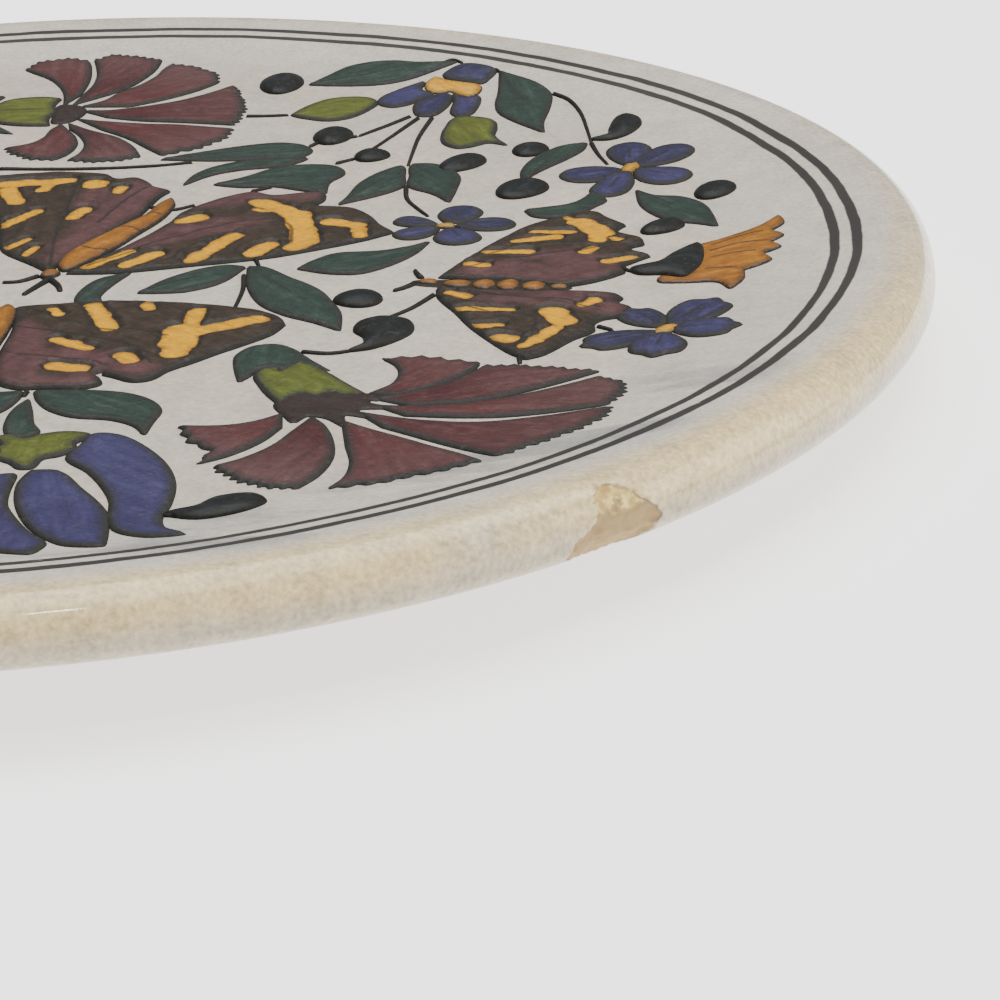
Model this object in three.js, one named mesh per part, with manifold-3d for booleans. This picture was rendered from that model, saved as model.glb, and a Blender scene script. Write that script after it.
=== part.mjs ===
// A decorative wall plate of glazed earthenware, lying face up on its foot ring.
// The plate is one fired piece: a flat well that curls up to a rolled rim, a foot ring behind with
// two hanging holes, and thick enamel flowers, leaves, buds and butterflies that stand proud of the
// face. One flake of glaze is missing from the edge. Millimetres, +Z up, the origin is the centre of
// the foot ring's underside, and +Y is the top of the plate when it hangs.
import * as THREE from 'three';
import { mergeVertices } from 'three/addons/utils/BufferGeometryUtils.js';
import Module from 'manifold-3d';

// Driving dimensions of the thrown body
const plateRadius = 120;
const rimRoll = 4; // from the crest of the rim out to the widest point
const rimDrop = 5; // from the crest of the rim down to the widest point
const lipTuck = 3; // how far the lip turns in below the widest point
const lipDepth = 2.4; // and how deep it is there
const curlWidth = 30; // the band over which the well rises to the crest
const wellRise = 3.2; // how much higher the crest is than the flat of the well
const baseThickness = 7;
const footHeight = 6;
const footRadius = 78;
const footWidth = 8;
const footTaper = 1; // how much narrower each side of the foot is at its bottom
const footBevel = 0.6;
const segments = 64; // facets round the plate
const slack = 0.03; // edges that change the form by less than this are left out

// The rise of the well eases in and out, and this power sets where it is steepest
const curlPower = 1.3;

// Hanging holes, drilled through the foot ring near the top
const hangHoleRadius = 1.5;
const hangHoleGap = 36;
const hangHoleSides = 10;

// The flake missing from the edge: its place round the rim and its size
const flakeAngle = -51.5; // degrees from +X
const flakeLength = 11;
const flakeHeight = 8;
const flakeDepth = 0.8;

// The enamel figures: how proud they stand, and the band of plain face left inside the rim
const enamelHeight = 0.7;
const plainBand = 11;

const crestRadius = plateRadius - rimRoll;
const flatRadius = crestRadius - curlWidth;
const wellHeight = footHeight + baseThickness;
const crestHeight = wellHeight + wellRise;
const waistHeight = crestHeight - rimDrop;
const lipRadius = plateRadius - lipTuck;
const lipHeight = waistHeight - lipDepth;
const fieldRadius = crestRadius - plainBand;
// The figures below are drawn for a painted field of this radius, and follow the field's real one
const drawnRadius = 105;
const drawnScale = fieldRadius / drawnRadius;

const radians = THREE.MathUtils.degToRad;
const wasm = await Module();
wasm.setup();

// A closed three.js geometry as a solid for joining and cutting
function toSolid(geometry) {
  const bare = geometry.clone();
  bare.deleteAttribute('normal');
  bare.deleteAttribute('uv');
  const merged = mergeVertices(bare, 1e-4);
  const index = merged.index.array;
  const kept = [];
  for (let i = 0; i < index.length; i += 3) {
    const [a, b, c] = [index[i], index[i + 1], index[i + 2]];
    if (a !== b && b !== c && c !== a) kept.push(a, b, c);
  }
  return new wasm.Manifold(new wasm.Mesh({
    numProp: 3,
    vertProperties: Float32Array.from(merged.attributes.position.array),
    triVerts: Uint32Array.from(kept),
  }));
}

function toGeometry(solid) {
  const mesh = solid.getMesh();
  const geometry = new THREE.BufferGeometry();
  geometry.setAttribute('position', new THREE.BufferAttribute(mesh.vertProperties, 3));
  geometry.setIndex(new THREE.BufferAttribute(mesh.triVerts, 1));
  geometry.computeVertexNormals();
  return geometry;
}

// Turned body. A profile runs from the axis below, out round the rim, and back to the axis above
function turned(profile) {
  const geometry = new THREE.LatheGeometry(profile, segments);
  geometry.rotateX(Math.PI / 2);
  return toSolid(geometry);
}

// Height of the face over the flat of the well at a radius between the axis and the crest
function faceRise(radius) {
  const share = THREE.MathUtils.clamp((radius - flatRadius) / curlWidth, 0, 1);
  return wellRise * Math.sin(Math.PI / 2 * share ** curlPower) ** 2;
}

// A quarter of an ellipse between two corners of the profile
function quarter(centre, wide, high, from, to, steps) {
  const points = [];
  for (let i = 0; i <= steps; i += 1) {
    const turn = radians(from + (to - from) * i / steps);
    points.push(new THREE.Vector2(centre.x + wide * Math.cos(turn), centre.y + high * Math.sin(turn)));
  }
  return points;
}

// The face from the crest in to the axis, raised by a lift
function faceProfile(lift) {
  const steps = 5;
  const points = [];
  for (let i = 0; i <= steps; i += 1) {
    const radius = crestRadius - curlWidth * i / steps;
    points.push(new THREE.Vector2(radius, wellHeight + faceRise(radius) + lift));
  }
  points.push(new THREE.Vector2(0, wellHeight + lift));
  return points;
}

function bodyProfile() {
  const inner = footRadius - footWidth;
  return [
    new THREE.Vector2(0, footHeight),
    new THREE.Vector2(inner, footHeight),
    new THREE.Vector2(inner + footTaper, footBevel),
    new THREE.Vector2(inner + footTaper + footBevel, 0),
    new THREE.Vector2(footRadius - footTaper - footBevel, 0),
    new THREE.Vector2(footRadius - footTaper, footBevel),
    new THREE.Vector2(footRadius, footHeight),
    ...quarter(new THREE.Vector2(lipRadius, waistHeight), lipTuck, lipDepth, -90, 0, 2),
    ...quarter(new THREE.Vector2(crestRadius, waistHeight), rimRoll, rimDrop, 0, 90, 5).slice(1, -1),
    ...faceProfile(0),
  ];
}

// Two holes bored along the radius through the foot ring, for a wire
function hangingHoles() {
  const middle = footRadius - footWidth / 2;
  const spread = Math.asin(hangHoleGap / 2 / middle);
  return [-1, 1].map((side) => {
    const bore = new THREE.CylinderGeometry(hangHoleRadius, hangHoleRadius, footWidth * 2, hangHoleSides);
    bore.translate(0, middle, 0);
    bore.rotateZ(side * spread);
    bore.translate(0, 0, footHeight / 2);
    return toSolid(bore);
  });
}

// A shallow, uneven flake off the rolled edge
function flake() {
  const lump = new THREE.IcosahedronGeometry(1, 1);
  const outward = flakeDepth * 3;
  lump.scale(outward, flakeLength / 2, flakeHeight / 2);
  lump.rotateX(radians(20));
  lump.translate(plateRadius - flakeDepth + outward * 0.8, 0, waistHeight + flakeHeight * 0.15);
  lump.rotateZ(radians(flakeAngle));
  return toSolid(lump);
}

// The painted figures, in the drawing's units. An outline is a closed list of [x, y] points. Those of
// the side garden are for the right half of the face, and the left half has them too, mirrored.

// Seven petals of each side carnation, and the cup and cap behind them
const sidePetals = [
  [
    [51.6, -57.3], [58.2, -52.8], [60.6, -49.7], [61.7, -46.7], [58.4, -46.1], [55.9, -44.1],
    [52.8, -44.7], [49.6, -44.3], [51.4, -47.1], [51.8, -50.5], [51, -53.2], [48.4, -56.2],
  ],
  [
    [55, -60], [60, -59.5], [64, -58.2], [75.6, -51], [73.1, -50.6], [71.3, -48.9], [68.9, -49.3],
    [66.9, -47.7], [64.5, -48.4], [62.1, -47.3], [56.7, -53.9], [48.6, -57.7],
  ],
  [
    [52.8, -63.1], [62.9, -64.9], [76, -63.9], [76.8, -60.7], [78.5, -58], [76.9, -55.4], [75.4, -52.5],
    [67.4, -57.2], [60.5, -59.8], [54.7, -60.5], [48.6, -59.5],
  ],
  [
    [50.4, -66.8], [56.6, -72.2], [63.2, -79.4], [65.7, -76.8], [68.9, -75.7], [70.7, -72.8],
    [73.9, -71.3], [74.7, -67.9], [76.5, -64.9], [63.8, -66.1], [58.1, -66], [53.6, -64.9], [46.8, -61.1],
  ],
  [
    [46.6, -72.3], [47.1, -79.3], [45, -85.4], [49.4, -84.4], [53.8, -84.3], [57.4, -81.8], [61.9, -80.6],
    [57.2, -74.2], [45.6, -63.8],
  ],
  [
    [40.5, -66.9], [37.1, -73], [32.2, -76.9], [33.9, -78.6], [34.3, -80.9], [36.5, -81.6], [37.6, -83.6],
    [39.9, -83.5], [41.9, -84.9], [44.5, -79.8], [45.6, -74.5], [44.7, -67], [42.5, -62.4],
  ],
  [
    [39.4, -61.4], [33.9, -64.6], [27.4, -64.4], [29, -67.4], [29.6, -70.6], [32, -73], [30.6, -76.3],
    [35.9, -72.2], [39.5, -65.9],
  ],
];
const sideCup = [
  [
    [48.7, -56.2], [40.7, -44.5], [38.5, -47.1], [37.3, -46.3], [35.6, -47.5], [35.3, -50.8],
    [38.7, -59.2], [41.2, -56.1], [42.7, -57.1], [44.5, -55.9], [45.6, -56.9],
  ],
  [
    [33.3, -51.1], [35.8, -47.6], [37.2, -46.9], [38.7, -47.9], [40.9, -44.7], [40.3, -41.2],
    [37.5, -38.5], [34.2, -39.1], [32.6, -41.4], [32.3, -44],
  ],
  [
    [50.6, -57], [48.6, -56.1], [39.6, -56.9], [38.3, -57.9], [38.6, -61.6], [40.1, -63], [46.7, -64.5],
    [50.1, -59.3],
  ],
];
// The drooping blossom: four blue petals and the yellow band across them
const sideBlossom = [
  [
    [62.7, 76], [64.8, 79.7], [64.7, 81.6], [61.7, 84.5], [59.1, 85.2], [56.5, 82.9], [56.3, 80.6],
    [57.8, 78.7],
  ],
  [
    [53.7, 79.9], [49.6, 76.8], [46.7, 72.7], [46.3, 68.7], [48.5, 66.3], [51.3, 67.6], [55.1, 72.4],
    [53.3, 76.1],
  ],
  [
    [57.2, 73], [54.8, 72.4], [52.1, 69.1], [51.8, 63.2], [52.3, 61.5], [53.3, 60.6], [55.4, 61.1],
    [57.1, 65.3], [58, 70.8],
  ],
  [
    [59, 59.7], [61.1, 61.9], [62.3, 69.9], [61.9, 71.1], [60, 70.5], [57.8, 72.9], [57.3, 62.6],
    [57.9, 60.5],
  ],
  [
    [54.8, 81.2], [53.4, 78.2], [54.2, 74.3], [55.3, 73.1], [57.3, 73.6], [59.6, 70.6], [60.7, 70.4],
    [62.2, 72.6], [62.3, 75.5], [55.6, 81.1],
  ],
];
// Leaves of the side garden, dark ones and then the two lime ones
const sideLeaves = [
  [
    [59.1, 86.4], [48.1, 89.9], [43.4, 90], [39.7, 87.9], [35.1, 81.2], [40.8, 79.6], [47.1, 79.5],
    [51.7, 81.3],
  ],
  [[71.4, 50], [73, 68.7], [70.1, 75], [64.9, 80.3], [64.1, 66.4], [64.5, 61.5], [67, 56.1]],
  [
    [15.7, 41.6], [24, 40.1], [34.7, 40.4], [36.8, 41.3], [37.9, 44.2], [37, 46.5], [35.6, 47.8],
    [31, 48.6], [23.8, 46.2],
  ],
  [
    [20.3, 28.3], [24.8, 33.4], [28.1, 35.1], [34.2, 36.6], [36.6, 38.6], [37.4, 40.5], [35.8, 41],
    [28.7, 40.1], [25, 38.3], [21.2, 33.6],
  ],
  [
    [24.3, 28.4], [28.7, 26.5], [33.6, 26.2], [40.7, 22.4], [41.1, 27.7], [42.9, 31.4], [42.7, 34.2],
    [40.1, 36.7], [34.9, 36.7], [32.3, 35.5],
  ],
  [[42.4, 16.9], [47.4, 20.3], [51, 24], [51.6, 27.3], [50.9, 35.2], [48.4, 33.4], [45.4, 28.9]],
  [
    [57.7, 16.6], [59.2, 26.2], [59.1, 29.8], [56.9, 34.4], [55.1, 35.7], [52.9, 36], [51.7, 34.7],
    [51.5, 25.5],
  ],
  [[67.5, 25], [76, 38.6], [77.5, 44.2], [73.3, 42.7], [69.4, 37.6], [67.4, 31.3]],
  [[77.1, 19.5], [73.8, 14.7], [67.4, 12.1], [69.1, 8.7], [72.7, 8.2], [76.2, 10.9], [79.1, 15.8]],
  [
    [82.8, 19.9], [83.1, 12.7], [85, 7.6], [87.6, 5], [93.2, 2.1], [92.5, 10.4], [91.4, 13.5],
    [89.2, 16.2], [85.5, 17.4],
  ],
  [
    [55.3, -0.3], [50, -3.3], [42.3, -4.4], [39.4, -7.5], [37.9, -10.2], [43, -12.9], [47.1, -12.7],
    [52.4, -7.1],
  ],
  [
    [31.9, -8.7], [28.8, -7.7], [25.4, -9.1], [21.1, -13.3], [18.3, -17.9], [24.1, -18.3], [27.3, -16.7],
    [29.6, -14],
  ],
  [
    [44.8, -34.5], [44.6, -27.1], [42, -19.2], [34.9, -9.5], [33.4, -8.6], [31.6, -8.8], [32.3, -17.8],
    [34.4, -24.4], [37.9, -28.7],
  ],
  [
    [33.2, 63.7], [38.5, 59.8], [41.7, 60.4], [44, 62.7], [46.1, 66.8], [46.7, 69.2], [46.1, 71.4],
    [44.9, 72.7], [43, 73.2], [38.8, 72.3], [35.9, 69.1],
  ],
  [
    [59.3, 60], [57.9, 59.4], [57, 57.2], [56, 50.3], [56.5, 45.3], [58.6, 42.9], [63.1, 45.2],
    [66.1, 43.9], [64.3, 49.2], [64.2, 57.5], [62.2, 59.4],
  ],
];
// Comma shaped buds, and the dark calyx of the feathered bloom
const sideSlip = [
  [[77.5, 45.4], [80.7, 44.7], [84.3, 47.4], [85.7, 51.3], [84.1, 54.7], [81.7, 54.2], [80.2, 47.2]],
  [
    [45.6, -42], [49.3, -40.8], [52.8, -37], [53.6, -33.6], [52.3, -30.9], [49.3, -30], [46.6, -31.6],
    [46.1, -34.7], [47.5, -38.7],
  ],
  [
    [89.9, -4.9], [88, -6.2], [83.8, -12.2], [80.4, -14.1], [81.4, -16.5], [86.6, -18.1], [88.4, -16.9],
    [90.3, -11.1],
  ],
];
// Fore and hind wing of the side butterfly
const sideWings = [
  [
    [55.6, -15.4], [65, -17.2], [71.4, -20.5], [74.1, -20.1], [78, -18.1], [82.8, -8.6], [81.9, -5.2],
    [81.9, -1.3], [80.3, 2], [80.7, 6.3], [77.7, 10.6], [76.5, 11.1], [74.5, 10.2], [67.7, 4.3],
  ],
  [
    [55.9, -16.9], [56.3, -24.1], [60.6, -37.4], [65.8, -45.9], [68.2, -45.7], [74.7, -37.2],
    [75.7, -33.6], [78, -32.5], [79.5, -30.4], [79.9, -28.5], [78.7, -25.9], [78.6, -23.6], [76.4, -22.3],
    [62.2, -20.1],
  ],
];
// The feathered bloom: one blade with a smooth back and scalloped barbs
const featheredBloom = [
  [
    [101, 3.5], [97.6, -0.2], [90.1, -5.3], [90.3, -11.7], [88.1, -17.6], [87.3, -18.3], [84.7, -17.3],
    [83.6, -18], [84.2, -20.1], [90.7, -20.8], [92.4, -24.3], [94.5, -20.7], [94.8, -17.3], [98.5, -14.7],
    [97.9, -11.5], [100.2, -9.9], [99.2, -7.3], [101, -5.2], [99.7, -2.6], [101.5, -0.5],
  ],
];
// The carnation at the top of the face: its petals, cup, cap and hub
const farPetals = [
  [
    [0.3, 79], [0.6, 89.6], [-0.7, 98.5], [-3.8, 98.6], [-6.8, 99.3], [-8.8, 97], [-11, 94.8], [-7, 90.4],
    [-4.7, 86.5], [-2.9, 80.8], [-1.8, 72.4],
  ],
  [
    [4.9, 78.8], [8.5, 85.6], [10.5, 92.1], [11.3, 97.7], [8.1, 98.2], [5.7, 100.2], [2.8, 99.6],
    [-0.1, 98.6], [1.4, 87], [-0.8, 72.2],
  ],
  [
    [8.6, 71.2], [16.5, 77.5], [21.7, 85.2], [20.3, 88.5], [19.4, 92], [15.9, 93.3], [13, 95.7],
    [9.3, 85.3], [4.3, 75.7], [0.4, 71.8],
  ],
  [
    [5.7, 65.3], [11.2, 62.9], [25.7, 58.9], [25.6, 63.2], [27.1, 67], [25.7, 70.9], [26.1, 75],
    [24.3, 78.6], [23.8, 82.8], [19.1, 76.8], [13.9, 72.6], [6, 69.5], [0.8, 69.9],
  ],
  [
    [5.6, 58.6], [10, 53.4], [16, 43.5], [19.4, 46.5], [23.1, 48.6], [24.3, 52.8], [25.9, 56.9],
    [17, 60.1], [7, 62.7], [0.3, 65.9],
  ],
  [
    [0.7, 59.5], [3.9, 50.8], [3.6, 46.3], [2.1, 42.4], [5.2, 42.3], [7.8, 40.9], [10.2, 42.6],
    [13.2, 43.1], [9.7, 52.6], [-0.2, 63.6],
  ],
  [
    [-2.2, 59.4], [-3.7, 52.9], [-8.1, 49.9], [-6, 47.7], [-5.2, 44.8], [-2.3, 44.2], [0.3, 42.6],
    [2.4, 46.7], [3, 51.4], [2, 56.2], [-1, 63.3],
  ],
];
const farCup = [
  [
    [-2.4, 61.6], [-2.9, 66], [-2.2, 69], [-2.9, 73], [-2.3, 77.3], [-5.5, 78.4], [-9.8, 77.8],
    [-11.9, 75.9], [-12.7, 73.4], [-12.7, 69.3], [-11.5, 65.2], [-8.4, 62.6],
  ],
  [
    [-7.1, 57.7], [-11.5, 64.9], [-13.2, 69.2], [-13.2, 72.5], [-11.3, 79.7], [-14.3, 79.5],
    [-16.9, 77.3], [-18.5, 74.2], [-19.3, 70], [-18.9, 67.3], [-17.8, 64.8], [-14.9, 61.7], [-11.4, 59.3],
  ],
  [
    [-2.2, 73.9], [-3.1, 71.9], [-2.9, 64.5], [-2.5, 63.1], [-1.1, 62.7], [1.2, 64.6], [2.4, 69.4],
    [1, 72.8],
  ],
];
// The tulip below: four long petals that stand apart, and the cap they hang from
const tulip = [
  [
    [31.7, -98.8], [28.7, -93.6], [29, -82.2], [27.5, -75.7], [23.1, -68.2], [20.9, -66.6], [18.7, -66.3],
    [16.5, -73.3], [19.6, -78.1], [21.8, -83.2], [24, -94.9], [27.7, -98.6],
  ],
  [
    [23.7, -101.4], [23, -91.5], [21.8, -87], [16.8, -77.7], [15.8, -76.7], [13, -76.6], [12.3, -83],
    [14.7, -91.8], [19.4, -99.6],
  ],
  [
    [16.7, -102.9], [17.5, -98.5], [12, -86.6], [11.6, -77.3], [8.6, -77.7], [6.3, -79.8], [4.9, -83.4],
    [4.9, -87.6], [5.9, -91.7], [10.2, -98.9], [12.4, -100.8],
  ],
  [
    [6.4, -66.7], [2.2, -68.8], [-0.9, -73.9], [-2.4, -81], [-1.8, -91.3], [-2.9, -94.9], [-5.3, -98.5],
    [-2.4, -99], [-0.4, -98.6], [1.8, -96.6], [3, -94.3], [5.3, -79.5], [9.3, -72.9], [8.6, -68.9],
  ],
  [
    [18.4, -66], [15.1, -65.1], [11.2, -66.9], [9.4, -65.5], [7.5, -66.4], [8.5, -68.7], [7.9, -70.4],
    [8.4, -72.4], [11.5, -76.1], [13.3, -75.9], [14.1, -73.4], [17.3, -71.1], [17.2, -69], [18.5, -67.1],
  ],
];
// Leaves over the tulip, one by the big butterfly's feelers, and a comma shaped bud
const lowLeaves = [
  [
    [17.2, -9.4], [13.3, -11.5], [11.9, -13.5], [10.7, -18.9], [11.6, -21.3], [13.4, -21.6],
    [14.6, -20.8], [14.4, -17.8],
  ],
  [
    [10, -51.8], [10.7, -55.3], [12.9, -59], [15.5, -61], [21.3, -63], [24.4, -67.2], [25.7, -59.4],
    [23.7, -55.3], [19.1, -52.8],
  ],
  [[10, -54.3], [8.5, -57.1], [8, -61.3], [8.5, -65.2], [9.9, -67.3], [12, -66.4], [12.7, -64.9]],
  [
    [9.1, -51.8], [0.4, -53.1], [-3.8, -55.9], [-5.7, -60], [-4.7, -67.3], [-0.9, -63.2], [5.1, -60.9],
    [7, -59.3], [8.6, -56.2],
  ],
  [[28.3, -90.6], [31.5, -92.7], [34, -92.7], [38, -90.1], [39.1, -87.4], [37.6, -85.7], [34.7, -85.8]],
];
// The big butterfly in the middle: two wings and the body between them
const bigWings = [
  [
    [8.4, -9.6], [16.5, -9.7], [33.9, -5.7], [44.4, -0.6], [50.6, 3.9], [45.3, 14.8], [39.7, 16.9],
    [40.7, 20.1], [40.2, 23], [33.5, 22.3], [31.2, 23.9], [29.9, 23.9], [25, 20.9], [21.4, 16.1],
    [17.2, 5.4],
  ],
  [
    [6.1, -8.8], [15.7, 13.9], [19.1, 26], [16.6, 28.2], [14, 32.5], [12.7, 33], [10.9, 32.7],
    [9.4, 34.8], [7.9, 35.6], [2.5, 36.5], [-12.1, 36.5], [-13.2, 35.2], [-13.3, 33.4], [-8, 24.6],
    [-4.9, 17.5], [-1.2, 1],
  ],
  [
    [19.4, 22.3], [17.5, 19.1], [15.9, 13.8], [7.8, -1], [7.1, -6.4], [8.4, -8.7], [9.7, -7.4],
    [13.5, -0.8], [18.7, 11.6], [20.2, 19],
  ],
];
// The low butterfly, whose two wings are alike on both sides of its body
const lowWings = [
  [
    [3.8, -22.1], [4.5, -30], [4.3, -45.8], [5.2, -49.2], [7.9, -51.5], [16.7, -51.7], [17.9, -50.5],
    [17.2, -47.3], [21.1, -50.2], [23.2, -49.9], [25.7, -46.4], [36.2, -35.8], [38.1, -31.6],
    [37.1, -28.6], [34.6, -26.1], [23.9, -22.1], [14.2, -20.9],
  ],
];
const lowBody = [
  [[3, -44.3], [4.7, -26.3], [4.2, -22.9], [3, -21.3], [1.8, -22.9], [1.3, -26.3]],
];

// Rosettes: the eye of each flower, and the middle, half length and half width of each petal
const rosettes = [
  {
    eye: [57.1, 6.2],
    petals: [
      [52.4, 8.6, 2.5, 2.3], [59, 11.3, 3.8, 3.1], [63, 6.3, 3.6, 3], [58.6, 1.2, 3.5, 3.3],
      [52.9, 3.3, 3, 2.6],
    ],
  },
  {
    eye: [82.8, 30.4],
    petals: [
      [83.1, 38.2, 4.6, 3.4], [88.2, 35.6, 4.6, 3.6], [87.2, 26.2, 4.2, 4], [79.8, 21.6, 4.7, 2.9],
      [77, 28, 4.4, 3.8],
    ],
  },
  {
    eye: [83.6, -37.6],
    petals: [
      [81, -32.6, 3.7, 3], [88.2, -31, 4.6, 3.7], [88.4, -38.4, 4.4, 3.6], [82.3, -43.4, 4.4, 3.6],
      [77.2, -40.6, 4.7, 3],
    ],
  },
];
const eyeSize = 1.7;

// Drops of enamel: the middle, half length, half width and heading of each
const sideBuds = [
  [31.1, 81.8, 5.6, 3.5, 85], [40.3, 51.2, 4.3, 3, 80], [46.3, 40.4, 3, 2.6, 60], [59.2, 35.2, 4.6, 2.9, 55],
  [67.4, 21.8, 4.7, 3.5, 60], [69, 41, 3.3, 2.7, 70], [93.6, 17.4, 3.7, 2.8, 60], [85.6, 2.9, 3.8, 2.3, 45],
  [46.4, -22.9, 3.2, 3.1, 0],
];
const sideBody = [
  [58.6, -17.2, 2.1, 1.1, -10], [61.8, -18.1, 1.5, 1.6, -10], [64.8, -18.9, 1.6, 1.8, -10],
  [68, -19.6, 1.6, 1.5, -10],
];
const bigHead = [6.6, -9.6, 1.7, 1.3, 66];

// Single strokes of the slip trailer: the middle line of each stem and feeler
const strokeWidth = 0.9;
const sideStems = [
  [[51.6, 61.2], [44, 50.8]],
  [[52.8, 60.2], [49.6, 52], [46, 43]],
  [[54.8, 60.2], [53, 50], [51.6, 34.8]],
  [[51.5, 25], [51.8, 19], [54.8, 10.6]],
  [[73, 68.4], [75.4, 64.6], [76.9, 58.6], [77.9, 44.2]],
  [[77.9, 44], [79.8, 32.6]],
  [[26.7, 63.8], [33.4, 63.7]],
  [[41.2, 37], [44.4, 39.6]],
  [[31.6, -12], [31.8, -18], [31.2, -25.6]],
  [[55.9, -21.8], [53, -27], [50, -30.6]],
  [[40.2, -41.4], [44, -42.3], [48.2, -40.6]],
  [[79.4, -13.4], [82, -15.4]],
  [[15.6, 19.4], [19.8, 17], [23, 19]],
  [[54.2, -15.4], [53.3, -12]],
  [[53.6, -17], [50.6, -20.1]],
];
const lowStems = [
  [[-7, 39.4], [4, 38.2], [14, 38.4], [21, 39.8]],
  [[28.4, -90.6], [30.4, -91.6]],
  [[-3, -91], [-6, -91.6]],
  [[6.8, -11.2], [4.2, -17.4]],
  [[7, -11.6], [8.8, -16.4]],
  [[5.4, -9.8], [3, -12], [0.8, -12.2]],
];

// A drop's outline, an oval of a few sides
const dropSides = 7;
function drop([x, y, long, wide, heading]) {
  const [c, s] = [Math.cos(radians(heading)), Math.sin(radians(heading))];
  const outline = [];
  for (let i = 0; i < dropSides; i += 1) {
    const turn = 2 * Math.PI * i / dropSides;
    const [u, v] = [long * Math.cos(turn), wide * Math.sin(turn)];
    outline.push([x + u * c - v * s, y + u * s + v * c]);
  }
  return outline;
}

// The petals of a rosette lie on the lines from its eye, and the eye is a drop of its own
function rosette({ eye, petals }) {
  const drops = petals.map(([x, y, long, wide]) => {
    return [x, y, long, wide, THREE.MathUtils.radToDeg(Math.atan2(y - eye[1], x - eye[0]))];
  });
  return [[...eye, eyeSize, eyeSize, 0], ...drops].map(drop);
}

// A stroke's outline, half its width to each side of the middle line
function stroke(line) {
  const [left, right] = [[], []];
  line.forEach(([x, y], i) => {
    const [a, b] = [line[Math.max(i - 1, 0)], line[Math.min(i + 1, line.length - 1)]];
    const long = Math.hypot(b[0] - a[0], b[1] - a[1]);
    const [u, v] = [(a[1] - b[1]) / long * strokeWidth / 2, (b[0] - a[0]) / long * strokeWidth / 2];
    left.push([x + u, y + v]);
    right.push([x - u, y - v]);
  });
  return [...right, ...left.reverse()];
}

// The same outlines on the other side of an upright line
function across(outlines, axis = 0) {
  return outlines.map((outline) => outline.map(([x, y]) => [2 * axis - x, y]));
}

const lowBodyX = 3; // where the low butterfly's body hangs, between its two wings
function garden() {
  const side = [
    ...sidePetals, ...sideCup, ...sideBlossom, ...sideLeaves, ...sideSlip, ...sideWings, ...featheredBloom,
    ...rosettes.flatMap(rosette), ...sideBuds.map(drop), ...sideBody.map(drop), ...sideStems.map(stroke),
  ];
  const middle = [
    ...farPetals, ...farCup, ...tulip, ...lowLeaves, ...bigWings, ...lowWings, ...across(lowWings, lowBodyX),
    ...lowBody, drop(bigHead), ...lowStems.map(stroke),
  ];
  return [...side, ...across(side), ...middle];
}

// The figures as enamel: walls cut square from the drawing, topped level with the raised face
function enamel() {
  const sunk = enamelHeight; // how deep the figures' roots run into the body
  const depth = wellRise + 2 * sunk + enamelHeight;
  const prisms = garden().map((outline) => {
    const corners = outline.map(([x, y]) => new THREE.Vector2(x * drawnScale, y * drawnScale));
    const block = new THREE.ExtrudeGeometry(new THREE.Shape(corners), { depth, bevelEnabled: false });
    block.translate(0, 0, wellHeight - sunk);
    return toSolid(block);
  });
  const root = new THREE.Vector2(crestRadius, wellHeight - sunk / 2);
  const limit = turned([new THREE.Vector2(0, root.y), root, ...faceProfile(enamelHeight)]);
  return wasm.Manifold.union(prisms).intersect(limit);
}

const cut = wasm.Manifold.union([...hangingHoles(), flake()]);
const plate = turned(bodyProfile()).add(enamel()).subtract(cut).asOriginal().simplify(slack);

const glaze = new THREE.MeshStandardMaterial({ color: 0xd6d2c8, roughness: 0.15, metalness: 0 });
const mesh = new THREE.Mesh(toGeometry(plate), glaze);
mesh.name = 'plate';
const group = new THREE.Group();
group.add(mesh);

export default group;
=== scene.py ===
import math

import bpy
import numpy as np
from mathutils import Matrix, Vector, noise
from mathutils.geometry import delaunay_2d_cdt, tessellate_polygon


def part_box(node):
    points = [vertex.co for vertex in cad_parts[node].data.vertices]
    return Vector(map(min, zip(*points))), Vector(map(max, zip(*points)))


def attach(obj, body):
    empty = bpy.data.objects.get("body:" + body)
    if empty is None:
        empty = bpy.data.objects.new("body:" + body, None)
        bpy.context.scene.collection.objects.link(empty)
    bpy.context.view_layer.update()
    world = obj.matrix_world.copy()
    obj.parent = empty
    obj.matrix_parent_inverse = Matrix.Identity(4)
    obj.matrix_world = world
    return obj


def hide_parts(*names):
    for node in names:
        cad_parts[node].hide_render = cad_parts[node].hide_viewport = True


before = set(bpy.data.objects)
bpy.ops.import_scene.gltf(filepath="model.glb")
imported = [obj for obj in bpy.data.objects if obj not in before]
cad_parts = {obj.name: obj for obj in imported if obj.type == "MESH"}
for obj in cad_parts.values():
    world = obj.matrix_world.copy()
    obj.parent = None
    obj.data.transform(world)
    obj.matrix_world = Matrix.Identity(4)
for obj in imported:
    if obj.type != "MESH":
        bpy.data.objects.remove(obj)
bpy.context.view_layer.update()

# The thrown body of the plate: pale earthenware turned on a wheel, with a flat well, a face that curls
# up to a rolled rim, and a foot ring behind. Sizes are in millimetres, as the CAD part gives them.
MM = 0.001
plate_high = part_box("plate")[1]
PLATE_RADIUS = plate_high.x / MM
CREST_HEIGHT = plate_high.z / MM
RIM_ROLL = 4.0
RIM_DROP = 5.0
LIP_TUCK = 3.0
LIP_DEPTH = 2.4
CURL_WIDTH = 30.0
CURL_POWER = 1.3
WELL_RISE = 3.2
FOOT_HEIGHT = 6.0
FOOT_RADIUS = 78.0
FOOT_WIDTH = 8.0
FOOT_TAPER = 1.0
FOOT_BEVEL = 0.6
HANG_HOLE_RADIUS = 1.5
HANG_HOLE_GAP = 36.0
OUTER_RING, INNER_RING = 110.0, 107.2
OUTER_RING_HALF, INNER_RING_HALF = 0.68, 0.63
CREST_RADIUS = PLATE_RADIUS - RIM_ROLL
FLAT_RADIUS = CREST_RADIUS - CURL_WIDTH
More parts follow.
